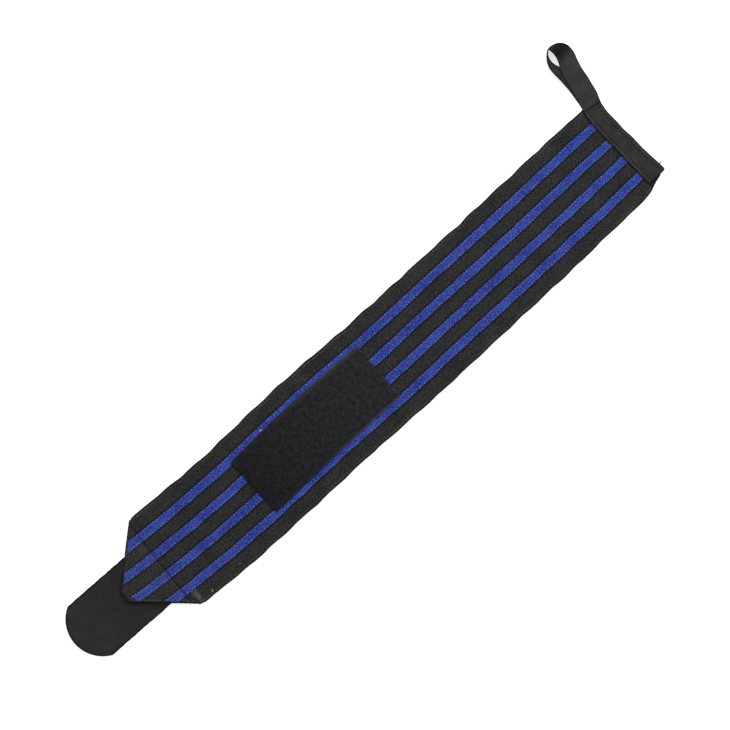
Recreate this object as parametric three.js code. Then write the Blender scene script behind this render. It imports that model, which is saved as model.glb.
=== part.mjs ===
// A wrist wrap lying flat: a striped woven elastic band with a pointed end, a hook tab
// under the point, a pile patch on the outer face, and a tape that binds the square end
// and stands out beyond it as the thumb loop.
//
// Millimetres, +Z up, lying on Z = 0. +X runs along the band towards the thumb loop and
// +Y across it, towards the edge that the loop stands out from.
import * as THREE from "three";

// Driving dimensions.
const BAND_WIDTH = 80;
const BAND_LENGTH = 491; // from the tip of the point to the raw end inside the tape
const BAND_THICK = 1.5;
const TAB_WIDTH = 47.5;
const TAB_THICK = 1.2;
const TAB_REACH = 48.5; // how far the tab stands out beyond the tip of the point
const TAB_HIDDEN = 36; // how far it runs back under the point
const TAB_SIDEWAYS = 0.2;
const TAB_TURN = THREE.MathUtils.degToRad(-1.1);
const TAB_END_RISE = 14.5; // how far the tab's round end bulges past its straight sides
const TAB_END_SLANT = 1.6; // its cut end isn't quite square to its sides
const PATCH_LENGTH = 123;
const PATCH_WIDTH = 47.5;
const PATCH_THICK = 1.8;
const PATCH_START = 122.5; // from the tip of the point to the patch
const PATCH_TURN = THREE.MathUtils.degToRad(0.7); // it is sewn on a little askew
const TAPE_THICK = 0.8;
const PLY_GAP = 0.25; // left between two layers that are sewn together

// The point: both corners are folded under along two lines that start beside the blunt tip
// and open out at this angle to the band. A fold is a half round at mid-thickness.
const FOLD_ANGLE = THREE.MathUtils.degToRad(42.3);
const TIP_HALF_WIDTH = 3; // between the middle of the tip and the start of a fold line
const FOLD_RADIUS = (BAND_THICK + PLY_GAP) / 2;
const FOLD_BULGE = FOLD_RADIUS + BAND_THICK / 2; // how far a fold stands out past its line
const FOLD_START = FOLD_BULGE * Math.sin(FOLD_ANGLE);
const FOLD_END = FOLD_START
  + (BAND_WIDTH / 2 - FOLD_BULGE * Math.cos(FOLD_ANGLE) - TIP_HALF_WIDTH) / Math.tan(FOLD_ANGLE);
const FOLD_LENGTH = (FOLD_END - FOLD_START) / Math.cos(FOLD_ANGLE);
const LEAST_FLAP = 0.8; // cloth past the fold where a flap runs out
const CORNER_EASE = 3; // beyond the fold, the band opens to its full width over this length

// How the band lies on the table, measured from the tip of the point: its centre line
// strays a little sideways, and its two edges lie at these distances from that line.
const LAY = [
  { along: 0, sideways: 1.5, loopEdge: 40.0, farEdge: 40.2 },
  { along: 46, sideways: 0.8, loopEdge: 39.7, farEdge: 40.2 },
  { along: 82, sideways: -0.9, loopEdge: 40.1, farEdge: 40.5 },
  { along: 114, sideways: -1.5, loopEdge: 40.0, farEdge: 40.2 },
  { along: 154, sideways: -0.9, loopEdge: 40.5, farEdge: 40.7 },
  { along: 190, sideways: -0.5, loopEdge: 40.4, farEdge: 40.6 },
  { along: 262, sideways: -1.6, loopEdge: 40.0, farEdge: 40.2 },
  { along: 334, sideways: -1.2, loopEdge: 39.7, farEdge: 39.9 },
  { along: 406, sideways: -0.3, loopEdge: 39.4, farEdge: 39.6 },
  { along: 449, sideways: 0.7, loopEdge: 38.9, farEdge: 39.5 },
  { along: 476, sideways: 1.6, loopEdge: 37.7, farEdge: 38.5 },
  { along: 484, sideways: 1.8, loopEdge: 37.4, farEdge: 35.6 },
  { along: 491, sideways: 2.0, loopEdge: 37.0, farEdge: 33.8 },
];

// The edges are a little longer than the middle, so they ripple up and to the side, from this
// far across the band outwards. The ripples fade in and out along it.
const RIPPLE = { pitch: 27, height: 0.7, sway: 0.3, across: 24, from: 66, to: 462, fade: 20 };
const RIPPLE_FAR_PHASE = 2.2; // radians by which the far edge's ripples are shifted

// The band climbs onto the tab and the folded corners, and onto the tape's lower run. Past
// the sides of the tab it droops towards the table by this share of the tab's height.
const POINT_RAMP = { from: 41, to: 64 };
const END_RAMP = { from: 456, to: 477 };
const DROOP = { from: TAB_WIDTH / 2 + 1.5, to: BAND_WIDTH / 2 + 2, share: 0.85 };

// How finely each stretch is faceted, in steps along it.
const STEPS = {
  fold: 12, corner: 2, pointRamp: 5, band: 58, endRamp: 8, halfRound: 5, flap: 4,
  tapeRun: 10, loop: 80, patchLength: 14, patchWidth: 4, tabEnd: 24,
};
const BAND_COLUMNS = [-1, -0.88, -0.7, -0.35, 0, 0.35, 0.7, 0.88, 1]; // shares of the half width

// The tape's two runs along the band's square end, above and below it: where its edge on the
// band and its outer edge lie, along and across the band from the root of the loop.
const TAPE_ROOT = { x: 487.3, y: 38.2 };
const TAPE_LOW = TAPE_THICK / 2;
const TAPE_HIGH = TAPE_THICK * 1.5 + PLY_GAP * 2 + BAND_THICK;
const TAPE_RUN = [
  { across: -70, bandEdge: -5.2, outerEdge: 8.7 },
  { across: -56.6, bandEdge: -5.9, outerEdge: 7.6 },
  { across: -36.6, bandEdge: -7.0, outerEdge: 6.8 },
  { across: -16.6, bandEdge: -7.4, outerEdge: 6.4 },
  { across: 0, bandEdge: -5.5, outerEdge: 6.9 },
];
const OVERHANG = 2; // this much of the upper run bends down past the band's raw end
const OVERHANG_SAG = { depth: 1, from: -10, to: -1 }; // fading out towards the loop's root

// The thumb loop, from the upper run's root round to the lower run's: the way of the tape's
// upper edge and of its lower edge, from the root of the loop. The tape leaves flat, turns
// onto its edge round the tip of the loop, and comes back flat below itself.
const LOOP = [
  { upX: -5.5, upY: 0, upZ: TAPE_HIGH, lowX: 6.9, lowY: 0, lowZ: TAPE_HIGH },
  { upX: -3.5, upY: 8.3, upZ: 4.7, lowX: 9.2, lowY: 5.6, lowZ: 4.0 },
  { upX: -0.8, upY: 24.0, upZ: 7.3, lowX: 13.1, lowY: 21.7, lowZ: 6.0 },
  { upX: 0.9, upY: 32.4, upZ: 8.6, lowX: 15.1, lowY: 30.0, lowZ: 6.7 },
  { upX: 3.9, upY: 37.7, upZ: 10.3, lowX: 17.0, lowY: 37.5, lowZ: 5.8 },
  { upX: 5.9, upY: 41.8, upZ: 12.4, lowX: 16.8, lowY: 44.0, lowZ: 3.9 },
  { upX: 6.0, upY: 46.4, upZ: 14.1, lowX: 12.6, lowY: 48.7, lowZ: 1.8 },
  { upX: 4.4, upY: 49.6, upZ: 14.8, lowX: 5.6, lowY: 50.2, lowZ: 0.5 },
  { upX: 1.3, upY: 47.8, upZ: 14.9, lowX: 1.2, lowY: 47.3, lowZ: 0.4 },
  { upX: -1.7, upY: 44.2, upZ: 14.8, lowX: -0.1, lowY: 43.4, lowZ: 0.4 },
  { upX: -3.3, upY: 40.1, upZ: 14.4, lowX: 0.3, lowY: 39.5, lowZ: 0.4 },
  { upX: -3.7, upY: 36.0, upZ: 13.5, lowX: 2.0, lowY: 35.8, lowZ: 0.4 },
  { upX: -3.9, upY: 31.0, upZ: 11.3, lowX: 5.4, lowY: 31.6, lowZ: 0.4 },
  { upX: -4.1, upY: 23.5, upZ: 7.0, lowX: 8.2, lowY: 24.5, lowZ: 0.4 },
  { upX: -4.5, upY: 14.5, upZ: 3.4, lowX: 8.5, lowY: 15.0, lowZ: 0.4 },
  { upX: -5.1, upY: 6.5, upZ: 1.2, lowX: 7.8, lowY: 6.5, lowZ: 0.4 },
  { upX: -5.5, upY: 0, upZ: TAPE_LOW, lowX: 6.9, lowY: 0, lowZ: TAPE_LOW },
];

// Values between the rows of a table, on a smooth curve through them that never swings past
// a row: a row that is a peak, or the end of a level stretch, is met level.
function between(table, column, key, at) {
  const last = table.length - 1;
  let row = 0;
  while (row < last - 1 && at > table[row + 1][key]) row += 1;
  const rise = (i) => (table[i + 1][column] - table[i][column]) / (table[i + 1][key] - table[i][key]);
  const slope = (i) => {
    const before = rise(Math.max(i - 1, 0));
    const after = rise(Math.min(i, last - 1));
    if (before * after <= 0) return 0;
    const least = Math.min(Math.abs(before), Math.abs(after));
    return Math.sign(before) * Math.min(Math.abs(before + after) / 2, 3 * least);
  };
  const [low, high] = [table[row], table[row + 1]];
  const span = high[key] - low[key];
  const t = THREE.MathUtils.clamp((at - low[key]) / span, 0, 1);
  const turn = t * t * (3 - 2 * t);
  const leave = t * (1 - t) * (1 - t) * span * slope(row);
  const arrive = t * t * (t - 1) * span * slope(row + 1);
  return low[column] * (1 - turn) + high[column] * turn + leave + arrive;
}

const lay = (column, along) => between(LAY, column, "along", along);
const ease = (at, from, to) => THREE.MathUtils.smoothstep(at, from, to);

// How far the edge ripples are lifted at a place along one side of the band, from 0 to 1.
function rippleWave(along, across) {
  const ends = ease(along, RIPPLE.from, RIPPLE.from + RIPPLE.fade)
    * (1 - ease(along, RIPPLE.to - RIPPLE.fade, RIPPLE.to));
  const phase = across > 0 ? 0 : RIPPLE_FAR_PHASE;
  const wave = 0.5 + 0.5 * Math.sin((2 * Math.PI * along) / RIPPLE.pitch + phase);
  return ends * wave;
}

// The place in plan of a point on the flat band: the centre line, then square out from it.
function plan(along, across) {
  const step = 1;
  const slope = (lay("sideways", along + step) - lay("sideways", along - step)) / (2 * step);
  const turn = Math.atan(slope);
  return new THREE.Vector2(
    along - across * Math.sin(turn),
    lay("sideways", along) + across * Math.cos(turn),
  );
}

// Height of the tab's top under a place: the cloth droops to the table past its sides.
function overTab(across) {
  const droop = ease(Math.abs(across), DROOP.from, DROOP.to);
  return (TAB_THICK + PLY_GAP) * (1 - DROOP.share * droop);
}

// Height of the band's lower face: up over the tab and the folded corners at the point,
// down to the table, and up over the tape's lower run at the square end.
function bandLift(along, across) {
  const atPoint = 1 - ease(along, POINT_RAMP.from, POINT_RAMP.to);
  const atEnd = ease(along, END_RAMP.from, END_RAMP.to);
  const out = ease(Math.abs(across), RIPPLE.across, BAND_WIDTH / 2);
  return atPoint * (overTab(across) + BAND_THICK + PLY_GAP)
    + atEnd * (TAPE_THICK + PLY_GAP)
    + out * RIPPLE.height * rippleWave(along, across);
}

// A thin sheet, kept as its mid-surface, that becomes a closed solid of even thickness.
class Sheet {
  points = [];
  faces = [];

  add(point) {
    return this.points.push(point) - 1;
  }

  triangle(a, b, c) {
    if (a !== b && b !== c && c !== a) this.faces.push([a, b, c]);
  }

  // Rows of equally many point numbers, joined by quads.
  join(rows) {
    for (let i = 0; i + 1 < rows.length; i += 1) {
      for (let j = 0; j + 1 < rows[i].length; j += 1) {
        this.triangle(rows[i][j], rows[i + 1][j], rows[i + 1][j + 1]);
        this.triangle(rows[i][j], rows[i + 1][j + 1], rows[i][j + 1]);
      }
    }
  }

  normals() {
    const sums = this.points.map(() => new THREE.Vector3());
    for (const [a, b, c] of this.faces) {
      const [p, q, r] = [this.points[a], this.points[b], this.points[c]];
      const square = q.clone().sub(p).cross(r.clone().sub(p));
      for (const corner of [a, b, c]) sums[corner].add(square);
    }
    return sums.map((sum) => sum.normalize());
  }

  // Both faces half a thickness off the mid-surface, and a strip round the free edges.
  solid(thickness) {
    const count = this.points.length;
    const half = thickness / 2;
    const normals = this.normals();
    const offset = (by) => this.points.map((point, i) => point.clone().addScaledVector(normals[i], by));
    const corners = [...offset(half), ...offset(-half)];
    const edges = new Map();
    const index = [];
    for (const [a, b, c] of this.faces) {
      index.push(a, b, c, count + a, count + c, count + b);
      for (const [from, to] of [[a, b], [b, c], [c, a]]) {
        if (!edges.delete(`${to} ${from}`)) edges.set(`${from} ${to}`, [from, to]);
      }
    }
    for (const [from, to] of edges.values()) {
      index.push(from, count + from, count + to, from, count + to, to);
    }
    const geometry = new THREE.BufferGeometry().setFromPoints(corners).setIndex(index);
    geometry.computeVertexNormals();
    return geometry;
  }
}

// Evenly spaced numbers from one value to another.
function steps(from, to, count) {
  return Array.from({ length: count + 1 }, (_, i) => from + ((to - from) * i) / count);
}

// Where the flat band's two edges lie at a place along it: the fold lines as far as they go,
// then the band's own edges with their ripples.
function bandEdges(along) {
  const onFold = TIP_HALF_WIDTH + (along - FOLD_START) * Math.tan(FOLD_ANGLE);
  const edge = (column, side) => {
    if (along <= FOLD_END) return onFold;
    const foldEnd = TIP_HALF_WIDTH + (FOLD_END - FOLD_START) * Math.tan(FOLD_ANGLE);
    const open = ease(along, FOLD_END - CORNER_EASE, FOLD_END + CORNER_EASE);
    const sway = RIPPLE.sway * (1 - 2 * rippleWave(along, side));
    return THREE.MathUtils.lerp(foldEnd, lay(column, along) + sway, open);
  };
  return { loop: edge("loopEdge", 1), far: -edge("farEdge", -1) };
}

// The elastic band. Rows across it run from the point to the square end. Each column of a
// folded corner leaves the fold line, goes round the half round and back under the band.
function elasticBand() {
  const sheet = new Sheet();
  const rowsAlong = [
    ...steps(FOLD_START, FOLD_END, STEPS.fold),
    ...steps(FOLD_END, FOLD_END + CORNER_EASE, STEPS.corner).slice(1),
    ...steps(FOLD_END + CORNER_EASE, POINT_RAMP.to, STEPS.pointRamp).slice(1),
    ...steps(POINT_RAMP.to, END_RAMP.from, STEPS.band).slice(1),
    ...steps(END_RAMP.from, BAND_LENGTH, STEPS.endRamp).slice(1),
  ];
  const mid = (along, across) => {
    const place = plan(along, across);
    return new THREE.Vector3(place.x, place.y, bandLift(along, across) + BAND_THICK / 2);
  };
  const rows = rowsAlong.map((along) => {
    const edge = bandEdges(along);
    return BAND_COLUMNS.map((share) => {
      const across = share > 0 ? share * edge.loop : -share * edge.far;
      return sheet.add(mid(along, across));
    });
  });
  sheet.join(rows);

  const halfRound = Math.PI * FOLD_RADIUS;
  const outAlong = -Math.sin(FOLD_ANGLE);
  const outAcross = Math.cos(FOLD_ANGLE);
  for (const side of [1, -1]) {
    const column = side > 0 ? BAND_COLUMNS.length - 1 : 0;
    const columns = rowsAlong.filter((along) => along <= FOLD_END).map((along, i) => {
      const edge = side > 0 ? bandEdges(along).loop : bandEdges(along).far;
      const onFold = (along - FOLD_START) / Math.cos(FOLD_ANGLE);
      const toRawEnd = onFold / Math.tan(FOLD_ANGLE);
      const toEdge = (FOLD_LENGTH - onFold) * Math.tan(FOLD_ANGLE);
      const depth = Math.max(Math.min(toRawEnd, toEdge), halfRound + LEAST_FLAP);
      const round = steps(0, Math.PI, STEPS.halfRound).slice(1).map((angle) => {
        const out = FOLD_RADIUS * Math.sin(angle);
        const place = plan(along + outAlong * out, edge + side * outAcross * out);
        const height = mid(along, edge).z - FOLD_RADIUS * (1 - Math.cos(angle));
        return sheet.add(new THREE.Vector3(place.x, place.y, height));
      });
      const back = steps(0, depth - halfRound, STEPS.flap).slice(1).map((run) => {
        const across = edge - side * outAcross * run;
        const place = plan(along - outAlong * run, across);
        return sheet.add(new THREE.Vector3(place.x, place.y, overTab(across) + BAND_THICK / 2));
      });
      const flap = [rows[i][column], ...round, ...back];
      return side > 0 ? flap : flap.reverse();
    });
    sheet.join(columns);
  }
  return sheet.solid(BAND_THICK);
}

// The pile patch follows the band's upper face, turned a little on it.
function pilePatch() {
  const sheet = new Sheet();
  const middle = PATCH_START + PATCH_LENGTH / 2;
  const rows = steps(PATCH_START, PATCH_START + PATCH_LENGTH, STEPS.patchLength).map((along) =>
    steps(-PATCH_WIDTH / 2, PATCH_WIDTH / 2, STEPS.patchWidth).map((across) => {
      const onBand = across + Math.tan(PATCH_TURN) * (along - middle);
      const place = plan(along, onBand);
      const height = bandLift(along, 0) + BAND_THICK + PLY_GAP + PATCH_THICK / 2;
      return sheet.add(new THREE.Vector3(place.x, place.y, height));
    }));
  sheet.join(rows);
  return sheet.solid(PATCH_THICK);
}

// The hook tab: straight sides, a square hidden end, and a cut end that is an arc on a slanted
// chord and meets the sides at a corner.
function hookTab() {
  const half = TAB_WIDTH / 2;
  const loopCorner = new THREE.Vector2(TAB_END_RISE - TAB_REACH - TAB_END_SLANT / 2, half);
  const farCorner = new THREE.Vector2(TAB_END_RISE - TAB_REACH + TAB_END_SLANT / 2, -half);
  const chord = loopCorner.distanceTo(farCorner);
  const radius = (chord * chord / 4 + TAB_END_RISE * TAB_END_RISE) / (2 * TAB_END_RISE);
  const inward = new THREE.Vector2(2 * half, TAB_END_SLANT).normalize();
  const centre = loopCorner.clone().lerp(farCorner, 0.5).addScaledVector(inward, radius - TAB_END_RISE);
  const outline = new THREE.Shape();
  outline.moveTo(TAB_HIDDEN, -half);
  outline.lineTo(TAB_HIDDEN, half);
  outline.lineTo(loopCorner.x, loopCorner.y);
  outline.absarc(
    centre.x,
    centre.y,
    radius,
    loopCorner.clone().sub(centre).angle(),
    farCorner.clone().sub(centre).angle(),
    false,
  );
  outline.closePath();
  return new THREE.ExtrudeGeometry(outline, {
    depth: TAB_THICK,
    curveSegments: STEPS.tabEnd,
    bevelEnabled: false,
  });
}

// The tape: a ribbon between two edges, along the upper run, round the loop and back along
// the lower run.
function thumbLoopTape() {
  const sheet = new Sheet();
  const root = new THREE.Vector3(TAPE_ROOT.x, TAPE_ROOT.y, 0);
  const ribbon = (x, y, z) => new THREE.Vector3(x, y, z).add(root);
  const ends = [TAPE_RUN[0].across, TAPE_RUN.at(-1).across];
  const run = (height, sag) => steps(...ends, STEPS.tapeRun).map((across) => {
    const outer = between(TAPE_RUN, "outerEdge", "across", across);
    const sagHere = sag * (1 - ease(across, OVERHANG_SAG.from, OVERHANG_SAG.to));
    return [
      ribbon(outer, across, height - sagHere),
      ribbon(outer - OVERHANG, across, height),
      ribbon(between(TAPE_RUN, "bandEdge", "across", across), across, height),
    ];
  });
  const edge = (x, y, z) => new THREE.CatmullRomCurve3(
    LOOP.map((row) => ribbon(row[x], row[y], row[z])), false, "catmullrom");
  const upper = edge("upX", "upY", "upZ");
  const lower = edge("lowX", "lowY", "lowZ");
  const width = lower.getPoint(0).distanceTo(upper.getPoint(0));
  const loop = steps(0, 1, STEPS.loop).slice(1, -1).map((share) => {
    const [low, up] = [lower.getPoint(share), upper.getPoint(share)];
    return [low, low.clone().lerp(up, OVERHANG / width), up];
  });
  const rows = [...run(TAPE_HIGH, OVERHANG_SAG.depth), ...loop, ...run(TAPE_LOW, 0).reverse()];
  sheet.join(rows.map((row) => row.map((point) => sheet.add(point))));
  return sheet.solid(TAPE_THICK);
}

// A named piece with its own finish.
function piece(name, geometry, colour, roughness) {
  const material = new THREE.MeshStandardMaterial({ color: colour, roughness, metalness: 0 });
  const mesh = new THREE.Mesh(geometry, material);
  mesh.name = name;
  return mesh;
}

const wrap = new THREE.Group();
wrap.add(piece("elastic_band", elasticBand(), 0x2b2c2b, 0.9));
wrap.add(piece("pile_patch", pilePatch(), 0x1d1d1f, 0.98));
const tab = piece("hook_tab", hookTab(), 0x2a2a2a, 0.75);
tab.position.y = TAB_SIDEWAYS;
tab.rotation.z = TAB_TURN;
wrap.add(tab);
wrap.add(piece("thumb_loop_tape", thumbLoopTape(), 0x343332, 0.85));

// The origin is on the table, under the middle of the wrap's box.
const box = new THREE.Box3().setFromObject(wrap);
const middle = box.getCenter(new THREE.Vector3());
wrap.position.set(-middle.x, -middle.y, -box.min.z);

const part = new THREE.Group();
part.add(wrap);

export default part;
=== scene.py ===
# %% [markdown]
# # A striped wrist wrap, laid flat
# The object is one strip of woven elastic with a folded point, a hook tab under the point, a pile patch
# on its outer face, and a tape that binds the square end and stands out beyond it as a thumb loop.
# All four are cloth, so the lesson makes each one twice over: first as a thin surface that lies where the
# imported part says, and then as the threads, stitches, loops and hooks that this cloth is made of.

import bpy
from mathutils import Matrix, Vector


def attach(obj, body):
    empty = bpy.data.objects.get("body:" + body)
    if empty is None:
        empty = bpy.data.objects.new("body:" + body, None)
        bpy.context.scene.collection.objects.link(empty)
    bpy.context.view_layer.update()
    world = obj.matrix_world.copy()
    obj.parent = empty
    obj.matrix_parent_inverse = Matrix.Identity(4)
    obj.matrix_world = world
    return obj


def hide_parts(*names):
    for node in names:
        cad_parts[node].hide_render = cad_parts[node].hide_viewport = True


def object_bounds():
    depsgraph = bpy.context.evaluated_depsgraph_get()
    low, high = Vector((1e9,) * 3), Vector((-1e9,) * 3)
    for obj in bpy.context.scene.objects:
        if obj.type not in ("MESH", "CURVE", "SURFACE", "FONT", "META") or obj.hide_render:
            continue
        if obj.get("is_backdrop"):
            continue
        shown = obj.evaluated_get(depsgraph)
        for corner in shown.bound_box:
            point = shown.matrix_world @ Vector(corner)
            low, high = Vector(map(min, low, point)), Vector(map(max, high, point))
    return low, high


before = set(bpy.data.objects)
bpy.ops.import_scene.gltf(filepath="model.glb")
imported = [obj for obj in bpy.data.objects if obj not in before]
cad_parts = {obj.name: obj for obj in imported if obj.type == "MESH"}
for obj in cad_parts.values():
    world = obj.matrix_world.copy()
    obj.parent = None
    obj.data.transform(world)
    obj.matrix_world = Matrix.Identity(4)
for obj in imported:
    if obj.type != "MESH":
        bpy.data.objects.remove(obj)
cad_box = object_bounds()
print("nodes:", sorted(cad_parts))

# %% [markdown]
# ## Millimetres
# The frame is in metres, but cloth is easiest to think about in millimetres from the tip of the point, with
# the table at height 0. Every piece is worked out there as whole numpy arrays, and moved into the frame at
# the end.

# %% Millimetres
import math

import bpy
import numpy as np

MM = 0.001

size = np.subtract(cad_box[1], cad_box[0]) / MM
print(f"the packed part fills a box of {size.round(1)} mm")

# %% [markdown]
# ## The camera
# The wrap was photographed from straight above and a long way off, so a long lens keeps both ends at the
# same scale. The wrap lies corner to corner across the square picture, so the camera is turned about its
# own axis.

# %% Camera
PICTURE_WIDTH = 526.13 * MM  # what the square picture spans on the table
PICTURE_MIDDLE = (13.5 * MM, -14.1 * MM)
PICTURE_TURN = math.radians(-42.29)
LENS = 300.0
SENSOR = 36.0
CLIP_END = 100.0
CLOTH_LEVEL = 2.0 * MM  # the height that the picture's scale holds for

camera_data = bpy.data.cameras.new("camera")
camera_data.lens = LENS
camera_data.sensor_width = SENSOR
camera_data.clip_end = CLIP_END
camera = bpy.data.objects.new("camera", camera_data)
camera.location = (*PICTURE_MIDDLE, CLOTH_LEVEL + PICTURE_WIDTH * LENS / SENSOR)
camera.rotation_euler = (0.0, 0.0, PICTURE_TURN)
bpy.context.scene.collection.objects.link(camera)
bpy.context.scene.camera = camera
print(f"camera {camera.location.z:.2f} m above the table")

# %% [markdown]
# ## Nodes and colours
# A shader works with linear light, and a colour picked from a picture is sRGB, so one function converts it.
# One more adds any node with its settings and links, which keeps each material to a short list. All of
# Blender's shader nodes have type names that start alike, so that start is left to the function. A Mix node
# has sockets for several kinds of value, and those for colours get names here.

# %% Colour and node helpers
FACTOR, FIRST, SECOND, BLEND = 0, 6, 7, 2  # a Mix node's inputs and output when it blends colours


def linear(code):
    """An sRGB hex colour as linear light: each channel over 255, then through the sRGB curve, which is a
    straight line near black and a power of 2.4 above it."""
    channels = np.array([int(code[i:i + 2], 16) for i in (1, 3, 5)]) / 255
    curve = np.where(channels <= 0.04045, channels / 12.92, ((channels + 0.055) / 1.055) ** 2.4)
    return (*curve.tolist(), 1.0)


def add(tree, kind, inputs=None, give=0, **settings):
    """Adds one node with its settings, gives each listed input a value or a link, and returns one of its
    outputs for the next node to read."""
    made = tree.nodes.new("ShaderNode" + kind)
    for name, value in settings.items():
        setattr(made, name, value)
    for socket, value in (inputs or {}).items():
        if isinstance(value, bpy.types.NodeSocket):
            tree.links.new(value, made.inputs[socket])
        else:
            made.inputs[socket].default_value = value
    return made.outputs[give] if made.outputs else None


def new_material(name):
    """An empty material and its node tree."""
    material = bpy.data.materials.new(name)
    material.use_nodes = True
    material.node_tree.nodes.clear()
    return material, material.node_tree


print("black yarn in linear light:", [round(x, 4) for x in linear("#2d2d2d")[:3]])

# %% [markdown]
# ## The floor
# Goods like this are shot on a white acrylic table with some light from below, which keeps the ground
# white, also inside the thumb loop. One large square is enough, with a little light of its own. It lies
# just under the lowest threads.

# %% Floor
FLOOR_HALF = 15.0
FLOOR_DROP = 0.1 * MM
FLOOR_GLOW = 0.6  # light that comes through the acrylic

board, tree = new_material("lit_white_acrylic")
shader = add(tree, "BsdfPrincipled", {
    "Base Color": linear("#f4f4f3"),
    "Roughness": 0.8,
    "Specular IOR Level": 0.1,
    "Emission Color": linear("#ffffff"),
    "Emission Strength": FLOOR_GLOW,
})
add(tree, "OutputMaterial", {"Surface": shader})
floor_mesh = bpy.data.meshes.new("floor")
corners = np.array([[-1, -1, 0], [1, -1, 0], [1, 1, 0], [-1, 1, 0]]) * FLOOR_HALF
floor_mesh.from_pydata((corners - [0, 0, FLOOR_DROP]).tolist(), [], [[0, 1, 2, 3]])
floor_mesh.materials.append(board)
floor = bpy.data.objects.new("floor", floor_mesh)
bpy.context.scene.collection.objects.link(floor)
floor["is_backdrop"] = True
print(f"floor {2 * FLOOR_HALF:.0f} m wide, {FLOOR_DROP / MM:.1f} mm below the wrap")

# %% [markdown]
# ## The light
# A soft lamp hangs overhead, and a second one stands above the upper right of the picture, where the cloth
# is a little brighter. The surround is dim, so that steep folds and rims turn dark. The view transform is
# Standard, so that a colour picked from a picture comes out as that colour.

# %% Light
LAMPS = {  # each lamp's place, width and power
    "overhead_lamp": ((0.1, 0.1, 1.9), 1.6, 8.5),
    "upper_right_lamp": ((0.75, 0.5, 1.0), 0.9, 9.0),
}
SURROUND = 0.36

for name, (lamp_place, lamp_width, lamp_power) in LAMPS.items():
    lamp_data = bpy.data.lights.new(name, "AREA")
    lamp_data.size = lamp_width
    lamp_data.energy = lamp_power
    lamp = bpy.data.objects.new(name, lamp_data)
    lamp.location = lamp_place
    lamp.rotation_euler = (-lamp.location).to_track_quat("-Z", "Y").to_euler()
    bpy.context.scene.collection.objects.link(lamp)
    print(f"{name} {lamp.location.length:.2f} m from the wrap")

world = bpy.data.worlds.new("white_surround")
world.use_nodes = True
world.node_tree.nodes.clear()
sky = add(world.node_tree, "Background", {"Color": linear("#ffffff"), "Strength": SURROUND})
add(world.node_tree, "OutputWorld", {"Surface": sky})
bpy.context.scene.world = world
bpy.context.scene.view_settings.view_transform = "Standard"
print(f"surround at {SURROUND:.0%} of white")

# %% [markdown]
# ## A smooth curve through a table
# Cloth that was laid by hand follows no formula. So its lay is a few short tables of places and measures,
# and a smooth curve runs through each. A cubic that never swings past its knots keeps the edges free of
# bulges that the cloth doesn't have.

# %% Smooth curve


def smooth_through(knots, values, at):
    """A cubic through the knots that never swings past one: the slope at a knot is the mean of its two
    neighbours' rises, at most three times the smaller, and 0 where they have opposite signs."""
    rise = np.diff(values) / np.diff(knots)
    before = np.concatenate([rise[:1], rise])
    after = np.concatenate([rise, rise[-1:]])
    least = np.minimum(np.abs(before), np.abs(after))
    steep = np.sign(before) * np.minimum(np.abs(before + after) / 2, 3 * least)
    slope = np.where(before * after <= 0, 0, steep)
    row = np.clip(np.searchsorted(knots, at) - 1, 0, len(knots) - 2)
    span = knots[row + 1] - knots[row]
    t = np.clip((at - knots[row]) / span, 0, 1)
    turn = t * t * (3 - 2 * t)
    leave = t * (1 - t) ** 2 * span * slope[row]
    arrive = t * t * (t - 1) * span * slope[row + 1]
    return values[row] * (1 - turn) + values[row + 1] * turn + leave + arrive


ends = np.array([0, 1.0])
print("halfway from 0 to 1 the curve is at", smooth_through(ends, ends, ends.mean()))

# %% [markdown]
# ## Where the band lies
# The band isn't quite straight: its centre line strays by a millimetre or two, and its width changes a
# little along the way. Each is a table of places along the band.

# %% Lay of the band on the table
BAND_WIDTH = 80.0
BAND_LENGTH = 491.0
LAY_ALONG = np.array([0, 46, 82, 114, 154, 190, 262, 334, 406, 449, 476, 484, 491.0])
LAY_SIDEWAYS = np.array([1.5, 0.8, -0.9, -1.5, -0.9, -0.5, -1.6, -1.2, -0.3, 0.7, 1.6, 1.8, 2.0])
LAY_LOOP_EDGE = np.array([40.0, 39.7, 40.1, 40.0, 40.5, 40.4, 40.0, 39.7, 39.4, 38.9, 37.7, 37.4, 37.0])
LAY_FAR_EDGE = np.array([40.2, 40.2, 40.5, 40.2, 40.7, 40.6, 40.2, 39.9, 39.6, 39.5, 38.5, 35.6, 33.8])
SLOPE_STEP = 1.0  # half the stretch over which the centre line's slope is measured


def plan(along, across):
    """Where a point of the flat band lies on the table: on the centre line, then square out from it."""
    ahead = smooth_through(LAY_ALONG, LAY_SIDEWAYS, along + SLOPE_STEP)
    behind = smooth_through(LAY_ALONG, LAY_SIDEWAYS, along - SLOPE_STEP)
    turn = np.arctan((ahead - behind) / (2 * SLOPE_STEP))
    sideways = smooth_through(LAY_ALONG, LAY_SIDEWAYS, along)
    return along - across * np.sin(turn), sideways + across * np.cos(turn)


print("the centre line strays by", np.ptp(LAY_SIDEWAYS).round(1), "mm")

# %% [markdown]
# ## Ripples along the edges
# The band's edges ripple, because they are a little longer than its middle. A ripple is a sine wave that
# fades out towards both ends of the band, and the two edges are out of step.

# %% Ripples
RIPPLE_PITCH = 27.0
RIPPLE_RANGE = (66.0, 462.0)  # along the band
RIPPLE_FADE = 20.0
RIPPLE_FAR_PHASE = 2.2  # radians by which the far edge's ripples are shifted


def ease(at, start, stop):
    """0 before start, 1 after stop, and 3t^2 - 2t^3 of the share t between them."""
    t = np.clip((at - start) / (stop - start), 0, 1)
    return t * t * (3 - 2 * t)


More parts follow.
